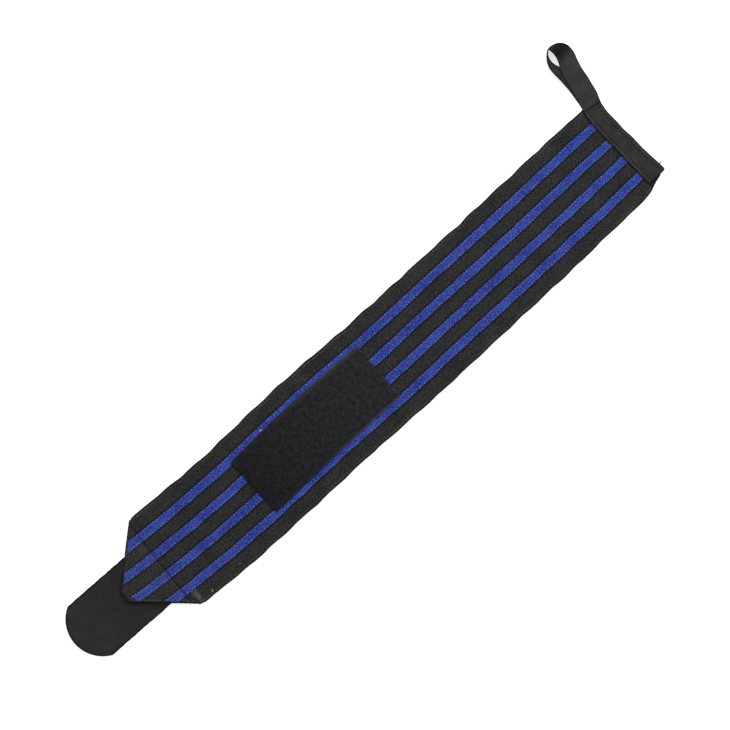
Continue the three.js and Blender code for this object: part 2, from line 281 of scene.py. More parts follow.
def ripple_wave(along, across):
    """How far an edge ripple is lifted, from 0 to 1: half a sine wave plus a half, faded at both ends."""
    start, stop = RIPPLE_RANGE
    fade = ease(along, start, start + RIPPLE_FADE) * (1 - ease(along, stop - RIPPLE_FADE, stop))
    phase = np.where(across > 0, 0, RIPPLE_FAR_PHASE)
    return fade * (0.5 + 0.5 * np.sin(2 * np.pi * along / RIPPLE_PITCH + phase))


print(f"{np.ptp(RIPPLE_RANGE) / RIPPLE_PITCH:.0f} ripples along each edge")

# %% [markdown]
# ## How high the band lies
# The ripples lift its edges, and it climbs over the tab at the point and over the tape at the square end.
# Each of these is a small function of the place along the band and across it. Together they lift any point
# of the flat cloth, for the band, its stitches and the patch alike.

# %% Height of the band over the table
BAND_THICK = 1.5
TAB_WIDTH = 47.5
TAB_THICK = 1.2
TAPE_THICK = 0.8
PLY_GAP = 0.25  # between two cloths that are sewn together
RIPPLE_HEIGHT = 0.7
RIPPLE_START = 24.0  # from the centre line
POINT_RAMP = (41.0, 64.0)
END_RAMP = (456.0, 477.0)
DROOP_RANGE = (TAB_WIDTH / 2 + 1.5, BAND_WIDTH / 2 + 2)
DROOP_SHARE = 0.85


def over_tab(across):
    """Height of the cloth that lies on the tab, which droops towards the table past the tab's sides."""
    return (TAB_THICK + PLY_GAP) * (1 - DROOP_SHARE * ease(np.abs(across), *DROOP_RANGE))


def band_lift(along, across):
    """Height of the band's lower face: over the tab and folded corners, on the table, then over the tape."""
    at_point = 1 - ease(along, *POINT_RAMP)
    out = ease(np.abs(across), RIPPLE_START, BAND_WIDTH / 2)
    return (at_point * (over_tab(across) + BAND_THICK + PLY_GAP)
            + ease(along, *END_RAMP) * (TAPE_THICK + PLY_GAP)
            + out * RIPPLE_HEIGHT * ripple_wave(along, across))


print(f"the tip of the point lies {band_lift(0.0, 0.0):.2f} mm above the table")

# %% [markdown]
# ## Bumps of the selvedge
# The woven edge of a cloth, its selvedge, has small bumps where the weft was pulled more or less tightly.
# They are random numbers, blurred until they are smooth. The same blur makes the tufts of the pile later on.

# %% Soft noise
NUB_SPACING = 2.0
NUB_HEIGHT = 0.12
NUB_SIZE = 1.3  # in spacings
NUB_SEED = 8


def soft_noise(shape, size, seed):
    """Smooth noise with a spread of 1: random numbers blurred by a bell of this size in cells. The blur is
    done by frequency, where it is a product."""
    values = np.random.default_rng(seed).standard_normal(shape)
    down, right = np.fft.fftfreq(shape[0])[:, None], np.fft.rfftfreq(shape[1])
    blur = np.exp(-2 * (np.pi * size) ** 2 * (down ** 2 + right ** 2))
    smooth = np.fft.irfft2(np.fft.rfft2(values) * blur, shape)
    return smooth / smooth.std()


nub_places = NUB_SPACING * np.arange(round(BAND_LENGTH / NUB_SPACING) + 1)
nub_shape = (len(nub_places), 1)
nubs = {side: NUB_HEIGHT * soft_noise(nub_shape, NUB_SIZE, NUB_SEED + side)[:, 0] for side in (1, -1)}
print(f"bumps of up to {nubs[1].max():.2f} mm at {len(nub_places)} places along a selvedge")

# %% [markdown]
# ## The edges of the band
# The point is made by folding both corners of one end under, along two slanting lines. So the edge of the
# band runs along a fold line first and then along the selvedge, which the ripples sway in and out.

# %% Edges of the band
FOLD_ANGLE = math.radians(42.3)
TIP_HALF_WIDTH = 3.0
FOLD_RADIUS = (BAND_THICK + PLY_GAP) / 2
FOLD_BULGE = FOLD_RADIUS + BAND_THICK / 2  # how far a fold stands out past its line
FOLD_START = FOLD_BULGE * math.sin(FOLD_ANGLE)
FOLD_REACH = BAND_WIDTH / 2 - FOLD_BULGE * math.cos(FOLD_ANGLE) - TIP_HALF_WIDTH
FOLD_END = FOLD_START + FOLD_REACH / math.tan(FOLD_ANGLE)
FOLD_LENGTH = (FOLD_END - FOLD_START) / math.cos(FOLD_ANGLE)
CORNER_EASE = 3.0  # beyond the fold, the band opens to its full width over this length
RIPPLE_SWAY = 0.3  # how far a ripple moves the edge sideways


def band_edge(along, side):
    """How far the edge lies from the centre line: on the fold line at the point, then on the selvedge."""
    on_fold = TIP_HALF_WIDTH + (along - FOLD_START) * math.tan(FOLD_ANGLE)
    fold_end = TIP_HALF_WIDTH + FOLD_REACH
    own = smooth_through(LAY_ALONG, LAY_LOOP_EDGE if side > 0 else LAY_FAR_EDGE, along)
    own = own + RIPPLE_SWAY * (1 - 2 * ripple_wave(along, np.full_like(along, side)))
    own = own + np.interp(along, nub_places, nubs[side])
    opened = ease(along, FOLD_END - CORNER_EASE, FOLD_END + CORNER_EASE)
    return np.where(along <= FOLD_END, on_fold, fold_end + (own - fold_end) * opened)


print(f"fold lines are {FOLD_LENGTH:.1f} mm long")

# %% [markdown]
# ## The folded corners
# A fold is a half round of cloth, and beyond it the corner runs back flat under the band. Cloth keeps its
# length in a fold, so each point of the corner is found from its distance past the fold line: first round
# the bend, then back.

# %% Fold geometry
HALF_ROUND = math.pi * FOLD_RADIUS
LEAST_FLAP = 0.8  # cloth past the fold where a corner runs out


def fold_under(along, side, past):
    """Points of a folded corner. past is the distance beyond the fold line: it turns through past / radius
    round the half round, and what is left runs straight back under the band. Also gives the places on the
    flat cloth."""
    edge = side * band_edge(along, side)
    angle = np.minimum(past / FOLD_RADIUS, np.pi)
    back = np.maximum(past - HALF_ROUND, 0)
    out = FOLD_RADIUS * np.sin(angle) - back
    across = edge + side * math.cos(FOLD_ANGLE) * out
    x, y = plan(along - math.sin(FOLD_ANGLE) * out, across)
    round_z = band_lift(along, edge) + BAND_THICK / 2 - FOLD_RADIUS * (1 - np.cos(angle))
    z = np.where(back > 0, over_tab(across) + BAND_THICK / 2, round_z)
    flat_along = along - math.sin(FOLD_ANGLE) * past
    flat_across = edge + side * math.cos(FOLD_ANGLE) * past
    return np.stack([x, y, z], axis=-1), np.stack([flat_along, flat_across], axis=-1)


print(f"a fold takes {HALF_ROUND:.2f} mm of cloth")

# %% [markdown]
# ## The stripes in the cloth
# Four blue stripes run along the band. They aren't quite parallel to its centre line, so a place on the
# cloth is first turned into a place in the weave, where they are.

# %% Stripes
STRIPE_PITCH = 16.7
STRIPE_OFFSET = 0.4
STRIPE_HALF = 3.25
STRIPE_BLEND = 0.4
STRIPE_LIMIT = 33.0  # no stripe beyond this
STRAY_ALONG = np.array([0, 6, 12, 24, 42, 62, 85, 155, 215, 255, 295, 385, 455, 475, 491.0])
STRIPE_STRAY = np.array([
    2.9, 2.4, 1.6, 0.5, -0.45, -0.65, -0.4, -0.4, -0.35, -0.45, 0.1, -0.25, -0.55, -0.95, -1.1,
])
STRIPE_SPREAD = np.array([1, 1, 1, 1, 1, 1, 1.01, 1.02, 1.02, 1.01, 1, 1, 0.99, 0.97, 0.96])
WIDTH_STEPS = 801  # places at which the share of blue is counted


def in_weave(flat):
    """Places in the weave: across the band, the stripes' stray is taken off and their spread divided out."""
    stray = np.interp(flat[:, 0], STRAY_ALONG, STRIPE_STRAY)
    spread = np.interp(flat[:, 0], STRAY_ALONG, STRIPE_SPREAD)
    return np.stack([flat[:, 0], (flat[:, 1] - stray) / spread], axis=1)


def stripe_share(across):
    """1 on a blue stripe and 0 between: by the distance from the nearest stripe's centre line."""
    from_centre = np.abs((across - STRIPE_OFFSET) % STRIPE_PITCH - STRIPE_PITCH / 2)
    on = 1 - ease(from_centre, STRIPE_HALF - STRIPE_BLEND, STRIPE_HALF + STRIPE_BLEND)
    return on * (np.abs(across) < STRIPE_LIMIT)


stripes_seen = stripe_share(np.linspace(-BAND_WIDTH / 2, BAND_WIDTH / 2, WIDTH_STEPS)).mean()
print(f"{stripes_seen:.0%} of the band's width is blue")

# %% [markdown]
# ## The seam and the crease
# A seam crosses the point, and the tape covers the square end, with a crease beside it. Both pull the cloth
# in. Each is a share between 0 and 1, highest on its line, which the relief and the shade will read.

# %% Seam and crease
SEAM_MIDDLE = 36.0  # the seam across the point, and how far it is turned
SEAM_SLANT = 0.047
SEAM_WIDTH = 0.65
TAPE_ROOT = np.array([487.3, 38.2, 0.0])  # where the tape leaves the band to form the loop
RUN_ACROSS = np.array([-70.0, -56.6, -36.6, -16.6, -4.0, 0.0])  # from there, back across the band
RUN_BAND_EDGE = np.array([-6.0, -6.5, -7.1, -7.4, -6.9, -6.2])  # the tape's two edges on the band
RUN_OUTER_EDGE = np.array([9.4, 8.0, 6.9, 6.3, 6.8, 8.0])
CREASE_OFFSET = 0.7
CREASE_WIDTH = 0.8


def bell(distance, width):
    """1 at no distance, falling off on both sides as e to the minus square."""
    return np.exp(-(distance / width) ** 2)


def fold_distance(along, across):
    """How far a point of the band lies inside the nearer fold line, measured square to it."""
    outer = TIP_HALF_WIDTH + (along - FOLD_START) * math.tan(FOLD_ANGLE)
    return (outer - np.abs(across)) * math.cos(FOLD_ANGLE)


def seam_share(along, across):
    """1 in the middle of the seam across the point, falling off as a bell; 0 on the folded corners."""
    from_seam = along - SEAM_MIDDLE - SEAM_SLANT * across
    return bell(from_seam, SEAM_WIDTH) * (fold_distance(along, across) > 0)


def crease_share(along, across):
    """1 in the crease beside the tape's edge, falling off as a bell."""
    x, y = plan(along, across)
    tape_edge = TAPE_ROOT[0] + smooth_through(RUN_ACROSS, RUN_BAND_EDGE, y - TAPE_ROOT[1])
    return bell(x - tape_edge + CREASE_OFFSET, CREASE_WIDTH)


print(f"the tape covers the last {BAND_LENGTH - TAPE_ROOT[0] - RUN_BAND_EDGE.mean():.0f} mm of the band")

# %% [markdown]
# ## The weave in relief
# A fine rib crosses the band every 2.4 mm, teeth of the same pitch run along each stripe, and a row of small
# raised ticks runs along both selvedges, where the weft turns back. A material could only paint them, so
# they are real relief here. The ribs of the black and the blue stand half a pitch apart, which gives the
# stripes their toothed edges. The seam and the crease beside the tape are grooves in the same relief.

# %% Relief of the band
RIBS = 188  # from the end of the fold to the square end
ROWS_PER_RIB = 5
RIB_PITCH = (BAND_LENGTH - FOLD_END) / RIBS
RIB_HEIGHT = 0.16
STRIPE_RISE = 0.07
TICK_HEIGHT = 0.16
TICK_RANGE = (0.6, 3.0)  # they fade out between these distances from the edge
SEAM_DEPTH = 0.4
CREASE_DEPTH = 0.2


def band_relief(along, across, weave_across, to_edge):
    """Height of the weave over its mean level: a cosine rib, higher on stripes, higher again in short ticks
    near the selvedge, less a bell-shaped groove along the seam and along the tape's edge."""
    stripe = stripe_share(weave_across)
    rib = np.cos(2 * np.pi * ((along - FOLD_END) / RIB_PITCH + 0.5 * stripe))
    near = 1 - ease(to_edge, *TICK_RANGE)
    tick = near * np.maximum(rib, 0) ** 2
    return (RIB_HEIGHT / 2 * rib + STRIPE_RISE * stripe + TICK_HEIGHT * tick
            - SEAM_DEPTH * seam_share(along, across) - CREASE_DEPTH * crease_share(along, across))


print(f"a rib every {RIB_PITCH:.2f} mm")

# %% [markdown]
# ## Woven elastic: hairs and clouds
# The band is polyester yarn woven over rubber. A picture of the weave would blur close up, so the pattern is
# worked out from the place on the flat cloth. Two noises make it uneven: stray hairs of the yarn and slow
# clouds of tone. The hairs are drawn coarser than real ones, so that they show at the size of the picture.

# %% Woven elastic: hairs and clouds
HAIR_SIZE = 1.5
CLOUD_SIZE = 14.0

elastic, tree = new_material("woven_polyester_elastic")
place = add(tree, "UVMap", uv_map="cloth")
along_cloth = add(tree, "SeparateXYZ", {"Vector": place}, "X")
across_cloth = add(tree, "SeparateXYZ", {"Vector": place}, "Y")
hairs = add(tree, "TexNoise", {"Vector": place, "Scale": 1 / HAIR_SIZE, "Detail": 3.0, "Roughness": 0.6},
            noise_dimensions="2D")
clouds = add(tree, "TexNoise", {"Vector": place, "Scale": 1 / CLOUD_SIZE, "Detail": 2.0},
             noise_dimensions="2D")
print(f"hairs of {HAIR_SIZE} mm and clouds of {CLOUD_SIZE} mm")

# %% [markdown]
# ## Woven elastic: where the stripes end
# The colour is in the yarn, so a stripe has toothed edges where the ribs of the two colours interlock. The
# first step is the distance from the centre of the nearest stripe, moved in and out by a tooth for each rib
# and by the hairs. Where it is less than half a stripe's width, the yarn is blue.

# %% Woven elastic: edges of the stripes
TOOTH_DEPTH = 0.6
EDGE_SOFT = 0.25  # half the blend from one yarn to the other
HAIR_SHIFT = 1.0  # how far hairs move an edge
WANDER = 1.3  # how far hand tension lets a stripe stray
EDGE_MIDDLE = STRIPE_HALF + TOOTH_DEPTH / 2 + HAIR_SHIFT / 2
HALF_RIB = RIB_PITCH / 2
HALF_REPEAT = STRIPE_PITCH / 2

strayed = add(tree, "Math", {0: clouds, 1: WANDER, 2: across_cloth}, operation="MULTIPLY_ADD")
first_centre = STRIPE_OFFSET + HALF_REPEAT + WANDER / 2
shifted = add(tree, "Math", {0: strayed, 1: first_centre}, operation="SUBTRACT")
wrapped = add(tree, "Math", {0: shifted, 1: HALF_REPEAT, 2: -HALF_REPEAT}, operation="WRAP")
from_centre = add(tree, "Math", {0: wrapped}, operation="ABSOLUTE")
rib_place = add(tree, "Math", {0: along_cloth, 1: FOLD_END + HALF_RIB}, operation="SUBTRACT")
tooth = add(tree, "Math", {0: rib_place, 1: HALF_RIB}, operation="PINGPONG")
tooth_slope = TOOTH_DEPTH / HALF_RIB
toothed = add(tree, "Math", {0: tooth, 1: tooth_slope, 2: from_centre}, operation="MULTIPLY_ADD")
ragged = add(tree, "Math", {0: hairs, 1: HAIR_SHIFT, 2: toothed}, operation="MULTIPLY_ADD")
in_stripe = add(tree, "MapRange", {
    "Value": ragged,
    "From Min": EDGE_MIDDLE + EDGE_SOFT,
    "From Max": EDGE_MIDDLE - EDGE_SOFT,
})
sideways = add(tree, "Math", {0: across_cloth}, operation="ABSOLUTE")
striped = add(tree, "Math", {0: sideways, 1: STRIPE_LIMIT}, operation="LESS_THAN")
plain = add(tree, "Attribute", give="Fac", attribute_name="plain")
allowed = add(tree, "Math", {0: striped, 1: plain}, operation="SUBTRACT", use_clamp=True)
stripe = add(tree, "Math", {0: in_stripe, 1: allowed}, operation="MULTIPLY")
print(f"the teeth of a stripe are {TOOTH_DEPTH} mm deep and {RIB_PITCH:.2f} mm apart")

# %% [markdown]
# ## Woven elastic: light and dark in the yarn
# Each colour is a mix of darker hollows in painted shade and lighter yarn tops in painted light. The tops
# stand in a brick pattern, one to each rib in every second row, with hairs across them. Real warp yarns are
# about 0.4 mm apart, which is finer than the picture can show, so they are drawn a little coarser, each with
# painted light along its middle.

# %% Woven elastic: dyes of the yarn
DOT_ROWS = 2.0  # the weave's repeat across the band
YARN_PITCH = 0.62
TOP_SHARE = 0.12  # how much the tops, the single yarns and the clouds add to the tone of the hairs
YARN_SHARE = 0.1
CLOUD_SHARE = 0.3
TONE_RANGE = (0.5, 0.95)

rib_wave = add(tree, "Math", {0: rib_place, 1: 2 * math.pi / RIB_PITCH}, operation="MULTIPLY")
row_wave = add(tree, "Math", {0: across_cloth, 1: 2 * math.pi / DOT_ROWS}, operation="MULTIPLY")
rib_side = add(tree, "Math", {0: rib_wave}, operation="SINE")
row_side = add(tree, "Math", {0: row_wave}, operation="COSINE")
# painted light on the yarn tops and painted shade in the hollows between them
tops = add(tree, "Math", {0: rib_side, 1: row_side}, operation="MULTIPLY")
dotted = add(tree, "Math", {0: tops, 1: TOP_SHARE, 2: hairs}, operation="MULTIPLY_ADD")
yarn_wave = add(tree, "Math", {0: across_cloth, 1: math.pi / YARN_PITCH}, operation="MULTIPLY")
yarn_side = add(tree, "Math", {0: yarn_wave}, operation="SINE")
yarns = add(tree, "Math", {0: yarn_side}, operation="ABSOLUTE")
mottle = add(tree, "Math", {0: yarns, 1: YARN_SHARE, 2: dotted}, operation="MULTIPLY_ADD")
tone = add(tree, "Math", {0: clouds, 1: CLOUD_SHARE, 2: mottle}, operation="MULTIPLY_ADD")
level = add(tree, "MapRange", {"Value": tone, "From Min": TONE_RANGE[0], "From Max": TONE_RANGE[1]})
blacks = add(tree, "Mix", {FACTOR: level, FIRST: linear("#1d1d1d"), SECOND: linear("#3c3c3b")},
             BLEND, data_type="RGBA")
blues = add(tree, "Mix", {FACTOR: level, FIRST: linear("#172875"), SECOND: linear("#475bb6")},
            BLEND, data_type="RGBA")
dyed = add(tree, "Mix", {FACTOR: stripe, FIRST: blacks, SECOND: blues}, BLEND, data_type="RGBA")
print(f"yarns every {YARN_PITCH} mm, tops in rows {DOT_ROWS} mm apart")

# %% [markdown]
# ## Woven elastic: tips and borders of the stripes
# The tip of each blue tooth stands up and gets a painted highlight. Just outside a stripe, where the two
# yarns change places, the weave dips and gets painted shade. Both follow the ragged distance from the
# stripe's centre that was made first, so they stay on its teeth.

# %% Woven elastic: tips and borders
TIP_REACH = 1.4  # how far the painted highlight on the teeth's tips reaches into the stripe
EDGE_SHADE = 1.1  # half the width of the border of painted shade
BORDER_OUT = 0.5  # how far outside the stripe the border is darkest
BORDER_DARKNESS = 1.9

inside = add(tree, "MapRange", {
    "Value": ragged,
    "From Min": EDGE_MIDDLE - TIP_REACH,
    "From Max": EDGE_MIDDLE,
})
tip_row = add(tree, "Math", {0: inside, 1: 0.5}, operation="PINGPONG")
crest = add(tree, "MapRange", {"Value": tooth, "From Min": HALF_RIB, "From Max": 0.0})
on_crest = add(tree, "Math", {0: tip_row, 1: crest}, operation="MULTIPLY")
lit_crest = add(tree, "Math", {0: on_crest, 1: level}, operation="MULTIPLY")
tip = add(tree, "Math", {0: lit_crest, 1: allowed}, operation="MULTIPLY")
tips_highlighted = add(tree, "Mix", {FACTOR: tip, FIRST: dyed, SECOND: linear("#a3acde")}, BLEND, data_type="RGBA")
near_edge = add(tree, "MapRange", {
    "Value": ragged,
    "From Min": EDGE_MIDDLE + BORDER_OUT - EDGE_SHADE,
    "From Max": EDGE_MIDDLE + BORDER_OUT + EDGE_SHADE,
})
border = add(tree, "Math", {0: near_edge, 1: 0.5}, operation="PINGPONG")
dip_shade = add(tree, "Math", {0: border, 1: BORDER_DARKNESS}, operation="MULTIPLY")
shade = add(tree, "Math", {0: dip_shade, 1: allowed}, operation="MULTIPLY")
bordered = add(tree, "Mix", {FACTOR: shade, FIRST: tips_highlighted, SECOND: linear("#101118")},
               BLEND, data_type="RGBA")
print(f"dark borders {2 * EDGE_SHADE} mm wide beside the stripes")

# %% [markdown]
# ## Woven elastic: painted light, wear, painted shade and finish
# Weft turns at the selvedge, pale places of painted light and of wear, and dark places of painted shade lie
# where this one wrap has them, so they are marks on the mesh, and the material only gives each its colour.
# Black cloth throws back far less white glare than its fibres would one by one, because they shade each
# other, so the specular level is low.

# %% Woven elastic: painted light, wear, painted shade and shader
ticks = add(tree, "Attribute", give="Fac", attribute_name="ticks")
ticked = add(tree, "Mix", {FACTOR: ticks, FIRST: bordered, SECOND: linear("#6e6e69")},
             BLEND, data_type="RGBA")
# painted highlights and painted light, and wear on the far fold's rim, turn the cloth pale
wear_and_painted_light = add(tree, "Attribute", give="Fac", attribute_name="wear_and_painted_light")
patchy = add(tree, "Math", {0: wear_and_painted_light, 1: hairs}, operation="MULTIPLY")
paled = add(tree, "Mix", {FACTOR: patchy, FIRST: ticked, SECOND: linear("#9a978d")}, BLEND, data_type="RGBA")
# painted shade in the seam, the crease, round the folds, at the selvedge, the tip and under the tape
painted_shade = add(tree, "Attribute", give="Fac", attribute_name="painted_shade")
in_painted_shade = add(tree, "Mix", {FACTOR: painted_shade, FIRST: paled, SECOND: linear("#0c0c0e")},
              BLEND, data_type="RGBA")
rough = add(tree, "MapRange", {"Value": mottle, "To Min": 0.98, "To Max": 0.84})
bump = add(tree, "Bump", {"Height": mottle, "Strength": 0.5, "Distance": 0.12 * MM})
shader = add(tree, "BsdfPrincipled", {
    "Base Color": in_painted_shade,
    "Roughness": rough,
    "IOR": 1.55,
    "Specular IOR Level": 0.1,
    "Normal": bump,
})
add(tree, "OutputMaterial", {"Surface": shader})
print(f"{elastic.name}: {len(tree.nodes)} nodes")

# %% [markdown]
# ## Faces of a grid
# Every cloth here starts as a grid of points, numbered row by row. Its faces are the quads between
# neighbouring rows and columns, so four shifted copies of the grid of numbers give them all at once.

# %% Faces of a grid


def grid_faces(index):
    """The quads between neighbouring rows and columns of a grid of point numbers."""
    here, below = index[:-1, :-1], index[1:, :-1]
    across, beside = index[1:, 1:], index[:-1, 1:]
    return np.stack([here, below, across, beside], axis=-1).reshape(-1, 4)


print(f"{len(grid_faces(np.arange(12).reshape(3, 4)))} quads in a grid of 3 by 4 points")

# %% [markdown]
# ## The band as a surface
# The rows of the grid run across the band, five to each rib. The columns lie closer together at the edges of
# the stripes and at the selvedges, where the relief changes fastest. At the point, every row ends on the two
# fold lines.

# %% Surface of the band
STRIPE_CENTRES = STRIPE_OFFSET + STRIPE_PITCH * np.array([-1.5, -0.5, 0.5, 1.5])
STRIPE_COLUMNS = np.array([-3.65, -2.85, 0, 2.85, 3.65])
BLACK_COLUMNS = np.array([-32.0, -16.3, 0.4, 17.1, 32.0])
SELVEDGE_COLUMNS = np.array([35.0, 37.4, 38.0, 38.7, 39.3, 40.0])
NO_SELVEDGE = 40.0  # counts as the distance from the selvedge where there is none

stripe_columns = (STRIPE_CENTRES[:, None] + STRIPE_COLUMNS).ravel()
columns = np.concatenate([stripe_columns, BLACK_COLUMNS, SELVEDGE_COLUMNS, -SELVEDGE_COLUMNS])
columns = np.sort(columns) / (BAND_WIDTH / 2)
row_step = RIB_PITCH / ROWS_PER_RIB
fold_rows = round((FOLD_END - FOLD_START) / row_step) + 1
rows = np.concatenate([
    np.linspace(FOLD_START, FOLD_END, fold_rows),
    np.linspace(FOLD_END, BAND_LENGTH, RIBS * ROWS_PER_RIB + 1)[1:],
])
along = np.repeat(rows[:, None], len(columns), axis=1)
edge = np.where(columns > 0, band_edge(rows, 1)[:, None], band_edge(rows, -1)[:, None])
across = columns * edge
x, y = plan(along, across)
sheet_points = [np.stack([x, y, band_lift(along, across) + BAND_THICK / 2], axis=-1).reshape(-1, 3)]
flat_places = [np.stack([along, across], axis=-1).reshape(-1, 2)]
edge_gaps = [(edge - np.abs(across) + NO_SELVEDGE * (along < FOLD_END)).ravel()]
band_index = np.arange(along.size).reshape(along.shape)
band_faces = [grid_faces(band_index)]
print(f"{len(rows)} rows of {len(columns)} columns")

# %% [markdown]
# ## The folded corners as surfaces
# Each corner is one more grid, which shares its first column with the rim of the band, so the cloth runs on
# round the fold. Its rows go round the bend first and then back under the band, as far as the triangle of
# the corner reaches there.

# %% Surface of the corners
ROUND_STEPS = 7
FLAP_STEPS = 14

on_fold = (rows[:fold_rows, None] - FOLD_START) / math.cos(FOLD_ANGLE)
depth = np.minimum(on_fold / math.tan(FOLD_ANGLE), (FOLD_LENGTH - on_fold) * math.tan(FOLD_ANGLE))
depth = np.maximum(depth, HALF_ROUND + LEAST_FLAP)
past = np.concatenate([
    np.repeat(HALF_ROUND * np.arange(1, ROUND_STEPS + 1)[None] / ROUND_STEPS, fold_rows, axis=0),
    HALF_ROUND + (depth - HALF_ROUND) * np.arange(1, FLAP_STEPS + 1) / FLAP_STEPS,
], axis=1)
for side, rim_column in ((1, -1), (-1, 0)):
    folded, flat = fold_under(np.repeat(rows[:fold_rows, None], past.shape[1], axis=1), side, past)
    index = sum(len(part) for part in sheet_points) + np.arange(past.size).reshape(past.shape)
    index = np.concatenate([band_index[:fold_rows, rim_column][:, None], index], axis=1)
    band_faces.append(grid_faces(index[:, ::side]))
    sheet_points.append(folded.reshape(-1, 3))
    flat_places.append(flat.reshape(-1, 2))
    edge_gaps.append(np.full(past.size, NO_SELVEDGE))
sheet_points = np.concatenate(sheet_points)
flat_places = np.concatenate(flat_places)
edge_gaps = np.concatenate(edge_gaps)
flat_along, flat_across = flat_places.T
print(f"{len(sheet_points)} points on the band and its corners")

# %% [markdown]
# ## Ticks along the selvedge
# Where the weft turns back, each rib ends in a pale tick. The ticks come and go along the band, so each
# stretch of it has a strength of its own, drawn by chance, and the tape covers the last of them. The shade
# of the seam will come and go in the same way, so its strengths are drawn here too.

# %% Marks of the selvedge
TICK_STRENGTH = 0.8
TICK_ROW = ((0.6, 1.2), (1.6, 2.5))  # distances from the edge between which the row of ticks starts and ends
FADE_LENGTH = 12.0  # the ticks at the selvedge come and go over this length
TICK_FADE = (0.1, 1.0)
SEAM_FADE = (0.35, 1.0)
SEAM_FADES = 30  # places along the seam with a strength of their own
FADE_SEED = 8
TAPE_COVER = (479.0, 482.0)

fade_random = np.random.default_rng(FADE_SEED)
tick_fade = fade_random.uniform(*TICK_FADE, round(BAND_LENGTH / FADE_LENGTH) + 2)
seam_fade = fade_random.uniform(*SEAM_FADE, SEAM_FADES)
rib_top = np.maximum(np.cos(2 * np.pi * (flat_along - FOLD_END) / RIB_PITCH), 0)
tick_row = ease(edge_gaps, *TICK_ROW[0]) * (1 - ease(edge_gaps, *TICK_ROW[1]))
covered = ease(flat_along, *TAPE_COVER)
fading = np.interp(flat_along, FADE_LENGTH * np.arange(len(tick_fade)), tick_fade)
ticks = TICK_STRENGTH * tick_row * rib_top * fading * (1 - covered)
print(f"the ticks have {len(tick_fade)} strengths, and the palest reaches {ticks.max():.0%}")

# %% [markdown]
# ## Painted light and wear on the band
# This wrap has been used, so the rim of the far fold is worn pale, and it has a painted highlight as well.
# A pale spot beside the folded corner is a painted highlight, where the cloth bulges over the edge of the
# flap beneath, and the point, which the corners under it lift, has a little painted light as far as its
# seam. Noise all over would put these in the wrong places. So each mark is a small function of the place on
# the flat cloth, and the strongest one at a point counts.

# %% Marks of painted light and wear
CORNER_HIGHLIGHT_PLACE = (41.3, -33.0)  # a painted highlight beside the folded corner, and its size
CORNER_HIGHLIGHT_SIZE = (1.9, 5.0)
CORNER_HIGHLIGHT_STRENGTH = 0.55
POINT_LIGHT = 0.05  # painted light on the point, which the corners under it lift, as far as its seam
POINT_LIGHT_END = (SEAM_MIDDLE - 2, SEAM_MIDDLE + 1)
FAR_RIM_WEAR_AND_HIGHLIGHT = 0.22  # the far fold's rim is pale from wear and a painted highlight
FAR_RIM_PALE_PLACE = 0.45
FAR_RIM_PALE_WIDTH = 0.4
TIP_REGION = (3.2, 6.8)

far = flat_across < 0
in_fold = flat_along < FOLD_END
fold_gap = fold_distance(flat_along, flat_across)
near_tip = 1 - ease(flat_along, *TIP_REGION)
off = (flat_places - CORNER_HIGHLIGHT_PLACE) / CORNER_HIGHLIGHT_SIZE
corner_highlight = CORNER_HIGHLIGHT_STRENGTH * np.exp(-(off ** 2).sum(axis=1))
point_light = POINT_LIGHT * (1 - ease(flat_along, *POINT_LIGHT_END))
far_rim_wear_and_highlight = FAR_RIM_WEAR_AND_HIGHLIGHT * bell(fold_gap - FAR_RIM_PALE_PLACE, FAR_RIM_PALE_WIDTH) * far * in_fold * (1 - near_tip)
wear_and_painted_light = np.maximum.reduce([corner_highlight, point_light, far_rim_wear_and_highlight])
print(f"{np.mean(wear_and_painted_light > POINT_LIGHT):.1%} of the points are rubbed pale")

# %% [markdown]
# ## Shade on the band
# Little light gets into the seam, into the crease beside the tape and round the folds, and the last row of a
# selvedge is dark. The lamps give some of this, but threads shade each other at a size that the mesh doesn't
# have, so the rest is painted shade, in a mark too. A fold's rim shows black yarn only, which is one more
# mark.

# %% Marks of shade
SEAM_SHADE = 0.85
SEAM_LOOP_FADE = 0.6  # towards the loop side, the seam loses this share of its shade
SEAM_LOOP_SIDE = (18.0, 30.0)
CREASE_SHADE = 0.75
SELVEDGE_SHADE = 0.5
SELVEDGE_DARK = (0.3, 1.0)
FOLD_SHADE = {1: 0.35, -1: 0.85}  # cloth that turns under at a fold is in the shade, on the far side more
FOLD_TURN = ((-0.6, 0.1), (-3.2, -2.0))  # distances inside the fold line where this begins and ends
RIM_PLAIN = 0.2  # a fold's rim shows black yarn this far in
TIP_PLAIN = 3.2  # and this much further on the far side near the tip
PLAIN_BLEND = (-0.5, 0.3)
TIP_SHADE = 0.35  # the blunt tip bends down into the shade
TIP_BEND = (1.0, 4.0)
TAPE_SHADE = 0.6  # past the end of the tape, a corner of the band is in its shade

